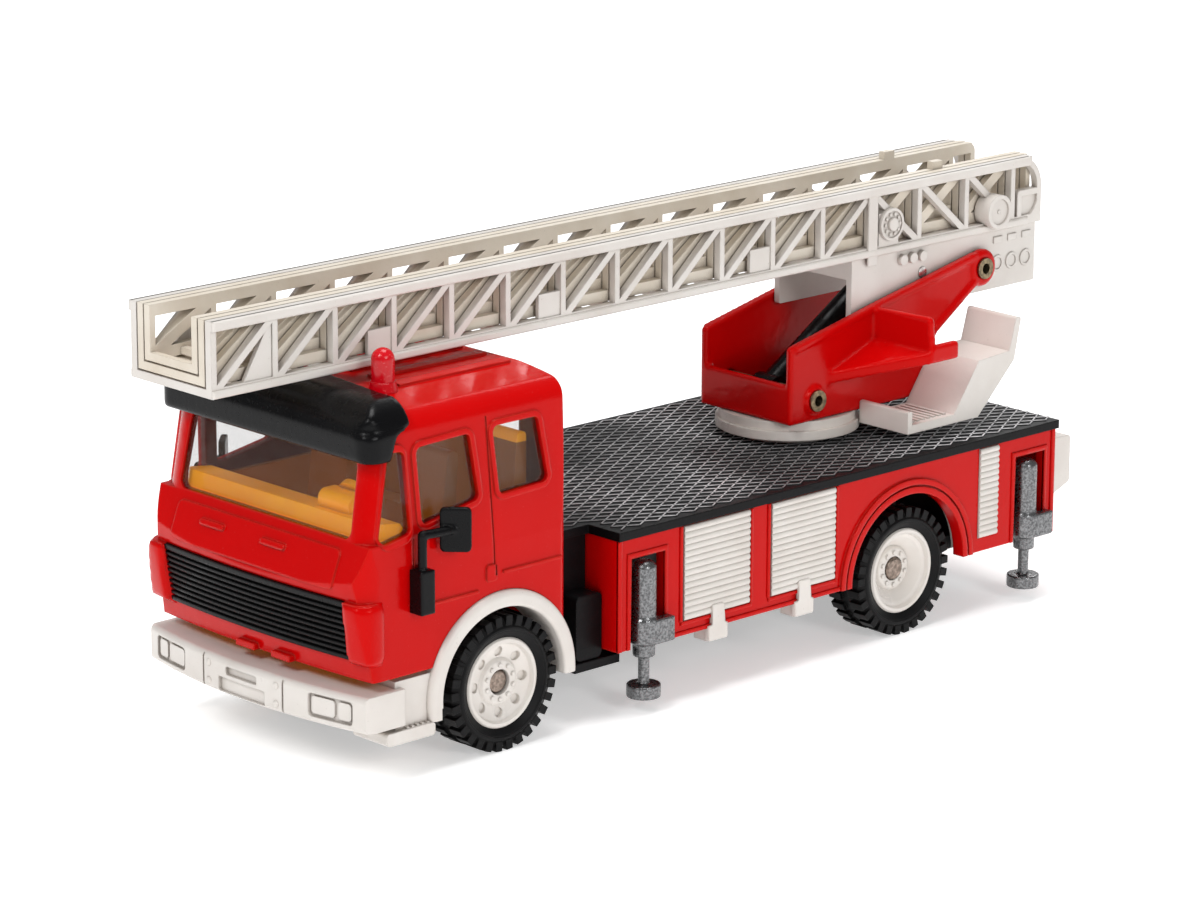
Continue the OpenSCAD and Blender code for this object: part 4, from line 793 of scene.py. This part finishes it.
class Pattern:
    """A geometry tree that sets one small shape on every vertex of a carrier mesh."""

    def __init__(self, name: str, inputs: dict[str, float]) -> None:
        """Makes the tree and its named inputs.

        Args:
            name: the tree's name.
            inputs: name and value of each size.
        """
        group = bpy.data.node_groups.new(name, "GeometryNodeTree")
        group.interface.new_socket("Geometry", in_out="INPUT", socket_type="NodeSocketGeometry")
        group.interface.new_socket("Geometry", in_out="OUTPUT", socket_type="NodeSocketGeometry")
        self.values: dict[str, float] = {}
        for key, value in inputs.items():
            socket = group.interface.new_socket(key, in_out="INPUT", socket_type="NodeSocketFloat")
            self.values[socket.identifier] = value
        self.tree = Tree(group)
        self.given = self.tree.add("NodeGroupInput")

    def finish(self, shape: Wire, look: Look) -> None:
        """Sets the shape on every vertex, turned by the attribute "turn", and closes the tree.

        Args:
            shape: the shape's geometry.
            look: its finish.
        """
        turn = self.tree.add("GeometryNodeInputNamedAttribute", {"data_type": "FLOAT"},
                             {"Name": "turn"})
        spin = self.tree.add("ShaderNodeCombineXYZ", None, {"Z": turn})
        rotation = self.tree.add("FunctionNodeEulerToRotation", None, {0: spin})
        dots = self.tree.add("GeometryNodeInstanceOnPoints", None,
                             {"Points": self.given.out("Geometry"), "Instance": shape,
                              "Rotation": rotation})
        real = self.tree.add("GeometryNodeRealizeInstances", None, {0: dots})
        done = self.tree.add("GeometryNodeSetMaterial", None,
                             {"Geometry": real, "Material": look.value.material()})
        output = self.tree.group.nodes.new("NodeGroupOutput")
        self.tree.feed(output.inputs[0], done)

    def grow(self, places: Sequence[tuple[Vector, float]]) -> Mesh:
        """Runs the tree over points.

        Args:
            places: each point, in metres, and the turn about Z there, in radians.

        Returns:
            A plain mesh of all the copies.
        """
        carrier = bpy.data.meshes.new("carrier")
        carrier.from_pydata([tuple(p) for p, _ in places], [], [])
        turn = carrier.attributes.new("turn", "FLOAT", "POINT")
        turn.data.foreach_set("value", [t for _, t in places])
        holder = show("carrier", carrier)
        modifier = holder.modifiers.new("pattern", "NODES")
        modifier.node_group = self.tree.group
        for identifier, value in self.values.items():
            modifier[identifier] = value
        return applied(holder)


class Moulded:
    """A mesh that grows from plates, blinds and studs.

    Attributes:
        bend: where the points of a slat's curve are, as shares of its height.
        fullness: power of the sine that the curve follows; it bulges more below 1.
    """

    bend: tuple[float, ...] = (0.0, 0.12, 0.3, 0.5, 0.7, 0.88)
    fullness: float = 0.7

    def __init__(self) -> None:
        """Starts an empty mesh."""
        self.work = bmesh.new()
        self.rims: list[bmesh.types.BMEdge] = []

    def loft(self, rings: Iterable[Sequence[Vector]], smooth: int = 0) -> list[bmesh.types.BMVert]:
        """Joins rings of points into a closed shape.

        Args:
            rings: points of each ring, in metres; the first and the last are filled.
            smooth: how many of the strips between the rings' points are shaded smooth.

        Returns:
            The last ring.
        """
        rows = [[self.work.verts.new(point) for point in ring] for ring in rings]
        for low, high in zip(rows, rows[1:]):
            for i in range(len(low)):
                j = (i + 1) % len(low)
                self.work.faces.new((low[i], low[j], high[j], high[i])).smooth = i < smooth
        for end in (rows[0], rows[-1]):
            self.work.faces.new(end)
        return rows[-1]

    def plate(self, outline: Outline, foot: float, face: float) -> None:
        """Adds a flat shape that stands on the left and the right wall.

        Args:
            outline: corners, along and up.
            foot: distance of its back from the middle plane.
            face: distance of its front from the middle plane.
        """
        for side in SIDES:
            front = self.loft([at(x, side * y, z) for x, z in outline] for y in (foot, face))
            self.rims += [self.work.edges.get(pair) for pair in zip(front, front[1:] + front[:1])]

    def blind(self, ends: tuple[float, float], heights: tuple[float, float], slats: int,
              depths: tuple[float, float, float]) -> None:
        """Adds a blind of half-round slats on the left and the right wall.

        Args:
            ends: its two ends along the truck.
            heights: its lower and upper edge.
            slats: how many slats it has.
            depths: distances of its back, of its grooves and of its crests from the middle plane.
        """
        back, groove, crest = depths
        low, high = heights
        pitch = (high - low) / slats
        bulge = [groove + (crest - groove) * math.sin(math.pi * b) ** self.fullness
                 for b in self.bend]
        curve = [(out, low + (i + b) * pitch)
                 for i in range(slats) for b, out in zip(self.bend, bulge)]
        section = [(back, low), *curve, (groove, high), (back, high)]
        for side in SIDES:
            self.loft([at(x, side * y, z) for y, z in section] for x in ends)

    def stud(self, place: Point, profile: Outline, sides: int = 14) -> None:
        """Adds a round head that points ahead.

        Args:
            place: middle of its foot.
            profile: rings from the foot on, each with its distance ahead and its radius.
            sides: points on each ring.
        """
        x, y, z = place
        turns = [2 * math.pi * i / sides for i in range(sides)]
        self.loft([at(x + ahead, y + r * math.cos(t), z + r * math.sin(t)) for t in turns]
                  for ahead, r in profile)

    def close(self, soft: float = 0.0) -> Mesh:
        """Rounds the front edges of the plates and ends the work.

        Args:
            soft: how far the edges are rounded.

        Returns:
            The mesh.
        """
        if self.rims:
            bmesh.ops.bevel(self.work, geom=self.rims, offset=soft * MM, offset_type="OFFSET",
                            segments=2, profile=0.5, affect="EDGES", clamp_overlap=True)
        bmesh.ops.recalc_face_normals(self.work, faces=self.work.faces)
        mesh = bpy.data.meshes.new("moulded")
        self.work.to_mesh(mesh)
        self.work.free()
        return mesh


def bar(x0: float, x1: float, z0: float, z1: float) -> list[tuple[float, float]]:
    """Outline of an upright rectangle."""
    return [(x0, z0), (x1, z0), (x1, z1), (x0, z1)]


@dataclass(frozen=True)
class Softening:
    """How far the edges of a cast or moulded node are rounded off.

    Attributes:
        voxel: grid that the copy is rebuilt on.
        passes: rounds of smoothing.
        near: distance below which two vertices are one.
        pull: share of the way that a vertex moves in one round.
    """

    voxel: float
    passes: int
    near: float = 0.001
    pull: float = 0.5

    def rebuild(self, node: str) -> Mesh:
        """Copies a CAD node's mesh, which stays as it is.

        Args:
            node: the node's name.

        Returns:
            The copy, with its edges rounded.
        """
        work = bmesh.new()
        work.from_mesh(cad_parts[node].data)
        bmesh.ops.remove_doubles(work, verts=work.verts, dist=self.near * MM)
        merged = bpy.data.meshes.new("merged")
        work.to_mesh(merged)
        work.free()
        holder = show("holder", merged)
        remesh = holder.modifiers.new("remesh", "REMESH")
        remesh.mode = "VOXEL"
        remesh.voxel_size = self.voxel * MM
        smooth = holder.modifiers.new("smooth", "SMOOTH")
        smooth.factor = self.pull
        smooth.iterations = self.passes
        mesh = applied(holder)
        mesh.polygons.foreach_set("use_smooth", [True] * len(mesh.polygons))
        return mesh


def soften(node: str, body: str, look: Look, how: Softening) -> Object:
    """Stands a rounded copy in for a CAD node.

    Args:
        node: the node's name.
        body: the CAD body that it moves with.
        look: the copy's finish.
        how: how far the copy is rounded.

    Returns:
        The copy.
    """
    piece = add_piece(f"{node}_cast", how.rebuild(node), look, body)
    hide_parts(node)
    return piece


@dataclass(frozen=True)
class CornerPad:
    """A cushion round an upright corner of a CAD node, on the left and on the right.

    Attributes:
        axis: the upright line that it bends round, along and across from the front axle.
        turns: where it starts and ends about that line, in degrees from straight ahead.
        heights: its lower and upper edge.
        proud: how far its middle stands out from the node's skin.
        sunk: how deep its edge lies below the skin.
        steps: points along each side of it.
        far: where the rays that feel for the skin start, from the axis.
        rounds: how often the skin's creases are evened out.
        square: power of its cross section; it is boxier above 2.
    """

    axis: tuple[float, float]
    turns: tuple[float, float]
    heights: tuple[float, float]
    proud: float
    sunk: float
    steps: int
    far: float = 15.0
    rounds: int = 4
    square: float = 5.0

    def mesh(self, node: str) -> Mesh:
        """Makes both cushions.

        Args:
            node: the node that they lie on.

        Returns:
            Their mesh.
        """
        source = bmesh.new()
        source.from_mesh(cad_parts[node].data)
        skin = BVHTree.FromBMesh(source)
        source.free()
        work = Moulded()
        for side in SIDES:
            rings = []
            for v, row in zip(self.shares(), self.radii(skin, side)):
                across = list(zip(self.shares(), row))
                face = [self.place(u, v, r + self.crown(u, v), side) for u, r in across]
                back = [self.place(u, v, r - 2 * self.sunk, side) for u, r in reversed(across)]
                rings.append(face + back)
            work.loft(rings, smooth=self.steps - 1)
        return work.close()

    def shares(self) -> list[float]:
        """How far along a side each of its points is, from 0 to 1."""
        return [i / (self.steps - 1) for i in range(self.steps)]

    def place(self, u: float, v: float, radius: float, side: int) -> Vector:
        """One point of a cushion.

        Args:
            u: share of the way round.
            v: share of the way up.
            radius: distance from the axis, in millimetres.
            side: 1 for the left, -1 for the right.

        Returns:
            The point in metres.
        """
        turn = math.radians(self.turns[0] + (self.turns[1] - self.turns[0]) * u)
        z = self.heights[0] + (self.heights[1] - self.heights[0]) * v
        x, y = self.axis
        return at(x + radius * math.cos(turn), side * (y + radius * math.sin(turn)), z)

    def radii(self, skin: BVHTree, side: int) -> list[list[float]]:
        """Distances of the skin from the axis, with its creases evened out.

        Args:
            skin: the node's mesh.
            side: 1 for the left, -1 for the right.

        Returns:
            A row for each height, in millimetres.
        """
        rows = []
        for v in self.shares():
            row = []
            for u in self.shares():
                start, inward = self.place(u, v, self.far, side), self.place(u, v, 0.0, side)
                _, _, _, gap = skin.ray_cast(start, (inward - start).normalized())
                row.append(self.far - gap / MM)
            rows.append(row)
        for _ in range(self.rounds):
            rows = [[max(now, (before + now + after) / 3)
                     for before, now, after in zip(row[:1] + row, row, row[1:] + row[-1:])]
                    for row in rows]
        return rows

    def crown(self, u: float, v: float) -> float:
        """Height of a cushion's face over the skin, at a share round and a share up."""
        rise = math.prod((1 - abs(2 * share - 1) ** self.square) ** 0.5 for share in (u, v))
        return rise * (self.proud + self.sunk) - self.sunk


@dataclass
class Assembly:
    """A group of CAD nodes, and the pieces added to them.

    Attributes:
        looks: the finish of each node.
    """

    looks: ClassVar[dict[str, Look]] = {}

    def dress(self) -> None:
        """Gives every CAD node of the group its finish."""
        for node, look in self.looks.items():
            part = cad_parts[node]
            if not part.material_slots:
                part.data.materials.append(None)
            for slot in part.material_slots:
                slot.material = look.value.material()
            LOG.info("node %s: %s", node, look.name.lower())

    def build(self) -> list[Object]:
        """Makes the added pieces; a group without any has none."""
        return []


@dataclass
class Cab(Assembly):
    """The cab with its glazing, visor, grille, bumper, mirrors and beacons.

    Attributes:
        bolt_x: front of the bumper, where the bolts sit.
        bolt_y: distance of the bolts from the middle plane.
        bolt_rows: heights of the bolts.
        bolt_head: rings of a bolt's head, each with its distance ahead and its radius.
        pad: the cushions beside the grille.
        coarse: how far the visor is rounded.
        fine: how far the mirrors are rounded.
    """

    looks: ClassVar[dict[str, Look]] = {
        "cab_shell": Look.RED_PAINT, "interior": Look.AMBER, "glazing": Look.CLEAR,
        "visor": Look.BLACK_GLOSS, "grille": Look.BLACK_GLOSS, "bumper": Look.WHITE,
        "mirror_left": Look.BLACK_GLOSS, "mirror_right": Look.BLACK_GLOSS,
        "beacons": Look.RED_CLEAR}
    bolt_x: float = 25.9
    bolt_y: float = 6.7
    bolt_rows: tuple[float, ...] = (8.7, 11.1)
    bolt_head: Outline = ((0.0, 0.5), (0.22, 0.5), (0.36, 0.38), (0.44, 0.18))
    pad: CornerPad = CornerPad(axis=(20.3, 16.5), turns=(17.5, 88.0), heights=(15.7, 24.3),
                               proud=0.6, sunk=0.15, steps=22)
    coarse: Softening = Softening(voxel=0.3, passes=10)
    fine: Softening = Softening(voxel=0.14, passes=5)

    def build(self) -> list[Object]:
        """Makes the bolt heads on the bumper, the corner pads and the rounded mouldings.

        Returns:
            The pieces.
        """
        heads = Moulded()
        for z in self.bolt_rows:
            for y in (-self.bolt_y, self.bolt_y):
                heads.stud((self.bolt_x, y, z), self.bolt_head)
        cast = [soften(node, "vehicle", Look.BLACK_GLOSS, how) for node, how in (
            ("visor", self.coarse), ("mirror_left", self.fine), ("mirror_right", self.fine))]
        pads = self.pad.mesh("cab_shell")
        return [add_piece("bumper_bolts", heads.close(), Look.WHITE, "vehicle"),
                add_piece("corner_pads", pads, Look.RED_PAINT, "vehicle"), *cast]


@dataclass
class Body(Assembly):
    """The equipment body on its chassis.

    Attributes:
        wall: distance of the side wall from the middle plane.
        foot_z: lower edge of the wall.
        bays: ends of the two outrigger bays.
        bay_top: upper edge of a bay.
        shutters: ends of the two shutters ahead of the wheel.
        rear_shutter: ends of the shutter behind the wheel.
        shutter_z: lower edge of the shutters.
        shutter_head: upper edge of the shutters.
        slats: slats on one shutter.
        slat_out: how far the slats' back, grooves and crests stand out.
        arch_x: foot of the wheel arch.
        raised: how far the trim stands out.
        root: how deep the trim is let into the wall.
        trim_soft: how far the trim's edges are rounded.
        rim_h: height of a rim that lies.
        rim_w: width of a rim that stands beside a bay.
        end_w: width of the rims at the ends of the wall.
        post_w: width of the posts beside a shutter.
        post_gap: distance of a post's middle from its shutter.
        post_top: how far below the wall's upper edge a post ends.
        sill: how far below a shutter its sill starts and ends.
        hook_depths: how deep a shutter's hook is let into the wall, and how far it stands out.
        hook_soft: how far its edges are rounded.
        hook: half of a hook's outline, across and up from its middle on the wall's lower edge.
    """

    looks: ClassVar[dict[str, Look]] = {
        "body_shell": Look.RED_PAINT, "shutters_left": Look.WHITE, "shutters_right": Look.WHITE,
        "rear_lamps": Look.WHITE, "chassis": Look.BLACK_MATTE, "chassis_rivets": Look.STEEL}
    wall: float = 21.35
    foot_z: float = 9.0
    bays: tuple[tuple[float, float], ...] = ((-27.8, -21.6), (-102.3, -96.1))
    bay_top: float = 21.5
    shutters: tuple[tuple[float, float], ...] = ((-43.45, -31.3), (-59.8, -47.65))
    rear_shutter: tuple[float, float] = (-92.6, -88.8)
    shutter_z: float = 11.0
    shutter_head: float = 23.9
    slats: int = 15
    slat_out: Point = (-0.3, 0.13, 0.36)
    arch_x: float = -61.1
    raised: float = 0.25
    root: float = 0.2
    trim_soft: float = 0.1
    rim_h: float = 0.6
    rim_w: float = 0.55
    end_w: float = 0.7
    post_w: float = 0.5
    post_gap: float = 0.45
    post_top: float = 0.2
    sill: tuple[float, float] = (0.65, 0.1)
    hook_depths: tuple[float, float] = (0.25, 0.62)
    hook_soft: float = 0.14
    hook: Outline = ((1.6, -1.75), (1.75, -1.5), (1.75, 0.35), (1.1, 0.45), (1.1, 3.0), (0.9, 3.2))

    def build(self) -> list[Object]:
        """Makes the raised lines of the wall, and the slats and the hooks of the shutters."""
        return [add_piece("body_trim", self.trim(), Look.RED_PAINT, "vehicle"),
                add_piece("shutter_slats", self.blinds(), Look.WHITE, "vehicle"),
                add_piece("shutter_hooks", self.hooks(), Look.WHITE, "vehicle")]

    def blinds(self) -> Mesh:
        """The fine slats on the face of every shutter.

        Returns:
            The mesh of both sides.
        """
        work = Moulded()
        for ends in (*self.shutters, self.rear_shutter):
            work.blind(ends, (self.shutter_z, self.shutter_head), self.slats,
                       tuple(self.wall + out for out in self.slat_out))
        return work.close()

    def trim(self) -> Mesh:
        """Rims along the lower edge, round the bays, round the shutters and at the ends.

        Returns:
            The mesh of both sides.
        """
        work = Moulded()
        (rear, _, _), (front, _, head) = span("body_shell")
        foot, top, wide = self.foot_z, self.bay_top, self.rim_w
        lines = [bar(self.arch_x, self.bays[0][0], foot, foot + self.rim_h),
                 bar(front - self.end_w, front, foot, head),
                 bar(rear, rear + self.end_w, foot, head)]
        low, high = (self.shutter_z - down for down in self.sill)
        half = self.post_w / 2
        for x0, x1 in self.shutters:
            lines.append(bar(x0 - self.post_w, x1 + self.post_w, low, high))
            lines += [bar(x - half, x + half, high, head - self.post_top)
                      for x in (x0 - self.post_gap, x1 + self.post_gap)]
        for x0, x1 in self.bays:
            lines.append([(x0, foot), (x0, top), (x1, top), (x1, foot),
                          (x1 + wide, foot), (x1 + wide, top + self.rim_h),
                          (x0 - wide, top + self.rim_h), (x0 - wide, foot)])
        for line in lines:
            work.plate(line, self.wall - self.root, self.wall + self.raised)
        return work.close(self.trim_soft)

    def hooks(self) -> Mesh:
        """A T-shaped hook on each shutter, over the lower edge of the wall.

        Returns:
            The mesh of both sides.
        """
        work = Moulded()
        root, out = self.hook_depths
        around = [*self.hook, *((-x, z) for x, z in reversed(self.hook))]
        for x0, x1 in self.shutters:
            work.plate([((x0 + x1) / 2 + x, self.foot_z + z) for x, z in around],
                       self.wall - root, self.wall + out)
        return work.close(self.hook_soft)


@dataclass
class Deck(Assembly):
    """The deck plate with its diamond tread.

    Attributes:
        pitch: distance between two ridges.
        slant: angle of the ridges to the truck's length, in degrees.
        ridge: width of a ridge at its foot.
        height: height of a ridge.
        crest: share of the width that is left at the top.
        lap: how far a ridge runs on at a crossing, as a share of its width.
        margin: plain border.
        hole: radius of the plain ring round the turntable's pivot.
        tongue_w: width of the tongue that runs ahead to the cab.
        tongue_x: where the tongue starts.
    """

    looks: ClassVar[dict[str, Look]] = {"deck": Look.BLACK_MATTE}
    pitch: float = 1.65
    slant: float = 30.0
    ridge: float = 0.31
    height: float = TREAD_HEIGHT
    crest: float = 0.6
    lap: float = 0.5
    margin: float = 0.25
    hole: float = 4.4
    tongue_w: float = 32.0
    tongue_x: float = -19.3

    def build(self) -> list[Object]:
        """Makes the tread.

        Returns:
            The pieces.
        """
        length = self.pitch / math.sin(2 * math.radians(self.slant))
        pattern = Pattern("tread", {"Length": (length + self.lap * self.ridge) * MM,
                                    "Width": self.ridge * MM, "Height": self.height * MM,
                                    "Crest": self.crest})
        pattern.finish(self.bar(pattern), Look.TREAD)
        return [add_piece("deck_tread", pattern.grow(self.places(length)), Look.TREAD, "vehicle")]

    def bar(self, pattern: Pattern) -> Wire:
        """One ridge: a bar that is narrower at the top.

        Args:
            pattern: the pattern that it is for.

        Returns:
            Its geometry.
        """
        tree = pattern.tree
        length, width, height, crest = (
            pattern.given.out(key) for key in ("Length", "Width", "Height", "Crest"))
        size = tree.add("ShaderNodeCombineXYZ", None, {"X": length, "Y": width, "Z": height * 2})
        block = tree.add("GeometryNodeMeshCube", None, {"Size": size})
        place = tree.add("GeometryNodeInputPosition")
        x, y, z = (tree.add("ShaderNodeSeparateXYZ", None, {0: place}, i) for i in range(3))
        narrow = 1 - (z > 0.0) * (1 - crest)
        pinched = tree.add("ShaderNodeCombineXYZ", None, {"X": x, "Y": y * narrow, "Z": z})
        return tree.add("GeometryNodeSetPosition", None, {"Geometry": block, "Position": pinched})

    def places(self, length: float) -> list[tuple[Vector, float]]:
        """Middle and turn of every ridge on the plate.

        Args:
            length: length of one ridge between two crossings.

        Returns:
            The points in metres, with their turns.
        """
        (x0, _, _), (x1, half, top) = span("deck")
        pivot_x = sum(corner[0] for corner in span("turntable")) / 2
        slant = math.radians(self.slant)
        step_x, step_y = length * math.cos(slant), length * math.sin(slant)
        reach_x, reach_y = step_x / 2 + self.margin, step_y / 2 + self.margin
        tongue = self.tongue_w / 2
        found = []
        rows = int(half / step_y) + 1
        for i in range(int((x1 - x0) / step_x) + 1):
            for j in range(-rows, rows):
                x, y = x0 + reach_x + i * step_x, (j + 0.5) * step_y
                edge = half if x < self.tongue_x - reach_x else tongue
                off = x > x1 - reach_x or abs(y) > edge - reach_y
                if off or math.hypot(x - pivot_x, y) < self.hole + length / 2:
                    continue
                found.append((at(x, y, top), slant if (i + j) % 2 else -slant))
        return found


@dataclass
class Wheels(Assembly):
    """The four wheels on their axles."""

    looks: ClassVar[dict[str, Look]] = {
        f"{end}_{part}": look
        for end in ("front", "rear")
        for part, look in (("axle", Look.STEEL), ("hub_left", Look.HUB), ("hub_right", Look.HUB),
                           ("tyre_left", Look.RUBBER), ("tyre_right", Look.RUBBER))}


@dataclass
class LadderGear(Assembly):
    """Turntable, cradle, platform, ram and the three ladders.

    Attributes:
        face: distance of the base ladder's side from the middle plane.
        ends: rear and front end of its rails.
        root: how deep the rails are let into its side.
        upper: height of its upper rail, and how far it stands out.
        lower: the same of its lower rail.
        foot: lower edge of its lower rail.
        soft: how far the rails' edges are rounded.
        cast: how far the cradle is rounded.
    """

    looks: ClassVar[dict[str, Look]] = {
        "turntable": Look.HUB, "turntable_clip": Look.BLACK_MATTE, "cradle": Look.RED_PAINT,
        "hinge_rivet": Look.RIVET, "ram_rivet": Look.RIVET, "platform": Look.WHITE,
        "ladder_base": Look.WHITE, "ladder_bracket": Look.WHITE, "ram_pin": Look.BRIGHT,
        "ladder_middle": Look.CREAM, "ladder_top": Look.CREAM, "ram_cylinder": Look.BLACK_GLOSS,
        "ram_rod": Look.BRIGHT}
    face: float = 7.9
    ends: tuple[float, float] = (-112.6, 36.4)
    root: float = 0.1
    upper: tuple[float, float] = (1.3, 0.6)
    lower: tuple[float, float] = (1.04, 0.4)
    foot: float = 50.3
    soft: float = 0.25
    cast: Softening = Softening(voxel=0.24, passes=5)

    def build(self) -> list[Object]:
        """Makes the rails of the base ladder and rounds the casting that carries it.

        Returns:
            The pieces.
        """
        rails = Moulded()
        top = span("ladder_base")[1][2]
        for (high, out), z in ((self.upper, top - self.upper[0]), (self.lower, self.foot)):
            rails.plate(bar(*self.ends, z, z + high), self.face - self.root, self.face + out)
        return [add_piece("ladder_rails", rails.close(self.soft), Look.WHITE, "ladder"),
                soften("cradle", "turntable", Look.RED_PAINT, self.cast)]


@dataclass
class Outriggers(Assembly):
    """The four jack legs.

    Attributes:
        cast: how far the legs are rounded.
    """

    looks: ClassVar[dict[str, Look]] = {
        f"outrigger_{end}_{side}": Look.ZINC
        for end in ("front", "rear") for side in ("left", "right")}
    cast: Softening = Softening(voxel=0.16, passes=9)

    def build(self) -> list[Object]:
        """Stands a rounded casting in for each leg."""
        return [soften(node, node, look, self.cast) for node, look in self.looks.items()]


@dataclass(frozen=True)
class SoftBox:
    """A square lamp with a diffuser.

    Attributes:
        name: the lamp's name.
        place: where it stands, in metres.
        size: width of its face, in metres.
        power: power in watts.
    """

    name: str
    place: Point
    size: float
    power: float

    def set_up(self, target: Vector) -> None:
        """Puts the lamp in the scene.

        Args:
            target: the point that it is turned to, in metres.
        """
        lamp = bpy.data.lights.new(self.name, "AREA")
        lamp.size = self.size
        lamp.energy = self.power
        stand = show(self.name, lamp)
        stand.location = self.place
        stand.rotation_mode = "QUATERNION"
        stand.rotation_quaternion = (target - stand.location).to_track_quat("-Z", "Y")


@dataclass
class Studio:
    """A pale floor, soft lights and the camera.

    Attributes:
        eye: the camera's place, millimetres from the front axle.
        azimuth: the camera's bearing from the truck's front to its left, in degrees.
        elevation: its height above the horizon, in degrees.
        roll: its lean, in degrees.
        lens: focal length, on a sensor 36 wide.
        floor_half: half the width of the floor, in metres.
        floor_tones: colours that the floor drifts between.
        floor_patch: width of the patches that it drifts in.
        floor_drift: how far it drifts.
        floor_roughness: its roughness.
        floor_shine: level of its reflection.
        floor_glow: light that the floor gives by itself.
        sky: light from all around.
        aim: the point that the lamps are turned to, in metres.
        boxes: the lamps.
    """

    eye: Point = (388.69, 449.71, 196.30)
    azimuth: float = 46.617
    elevation: float = 15.12
    roll: float = 0.225
    lens: float = 142.81
    floor_half: float = 4.0
    floor_tones: tuple[Colour, Colour] = ((0.88, 0.88, 0.88), (0.84, 0.84, 0.84))
    floor_patch: float = 40.0
    floor_drift: float = 0.3
    floor_roughness: float = 0.9
    floor_shine: float = 0.1
    floor_glow: float = 0.42
    sky: float = 0.27
    aim: Point = (0.0, 0.0, 0.03)
    boxes: tuple[SoftBox, ...] = (
        SoftBox("key", (0.75, 0.10, 0.75), 0.34, 4.2),
        SoftBox("fill", (0.15, 0.95, 0.45), 0.3, 2.9),
        SoftBox("top", (-0.15, -0.05, 1.0), 0.5, 6.0),
        SoftBox("rim", (-0.8, -0.5, 0.6), 0.4, 2.0),
    )

    def build(self) -> None:
        """Sets up the whole studio."""
        self.place_camera()
        self.lay_floor()
        for box in self.boxes:
            box.set_up(Vector(self.aim))
        world = bpy.data.worlds.new("studio")
        world.use_nodes = True
        light = world.node_tree.nodes["Background"].inputs
        light["Color"].default_value = (1.0, 1.0, 1.0, 1.0)
        light["Strength"].default_value = self.sky
        scene = bpy.context.scene
        scene.world = world
        scene.view_settings.view_transform = "Standard"

    def place_camera(self) -> None:
        """Makes the camera at the photograph's angle."""
        data = bpy.data.cameras.new("camera")
        data.lens = self.lens
        stand = Matrix.Translation(at(*self.eye))
        for turn, axis in ((self.azimuth + 90, "Z"), (90 - self.elevation, "X"), (self.roll, "Z")):
            stand = stand @ Matrix.Rotation(math.radians(turn), 4, axis)
        camera = show("camera", data)
        camera.matrix_world = stand
        bpy.context.scene.camera = camera

    def lay_floor(self) -> None:
        """Lays the pale floor."""
        h = self.floor_half
        mesh = bpy.data.meshes.new("floor")
        mesh.from_pydata([(-h, -h, 0), (h, -h, 0), (h, h, 0), (-h, h, 0)], [], [(0, 1, 2, 3)])
        shade = Shade("floor")
        patch = shade.noise(self.floor_patch) * self.floor_drift
        mesh.materials.append(shade.close({
            "Base Color": shade.blend(patch, *self.floor_tones),
            "Roughness": self.floor_roughness,
            "Specular IOR Level": self.floor_shine,
            "Emission Color": (1.0, 1.0, 1.0),
            "Emission Strength": self.floor_glow,
        }))
        show("floor", mesh)


def main() -> None:
    """Builds the studio and every sub-assembly."""
    logging.basicConfig(level=logging.INFO, format="%(message)s")
    Studio().build()
    for assembly in (Cab(), Body(), Deck(), Wheels(), LadderGear(), Outriggers()):
        assembly.dress()
        for piece in assembly.build():
            LOG.info("piece %s: %d faces", piece.name, len(piece.data.polygons))


if __name__ == "__main__":
    main()
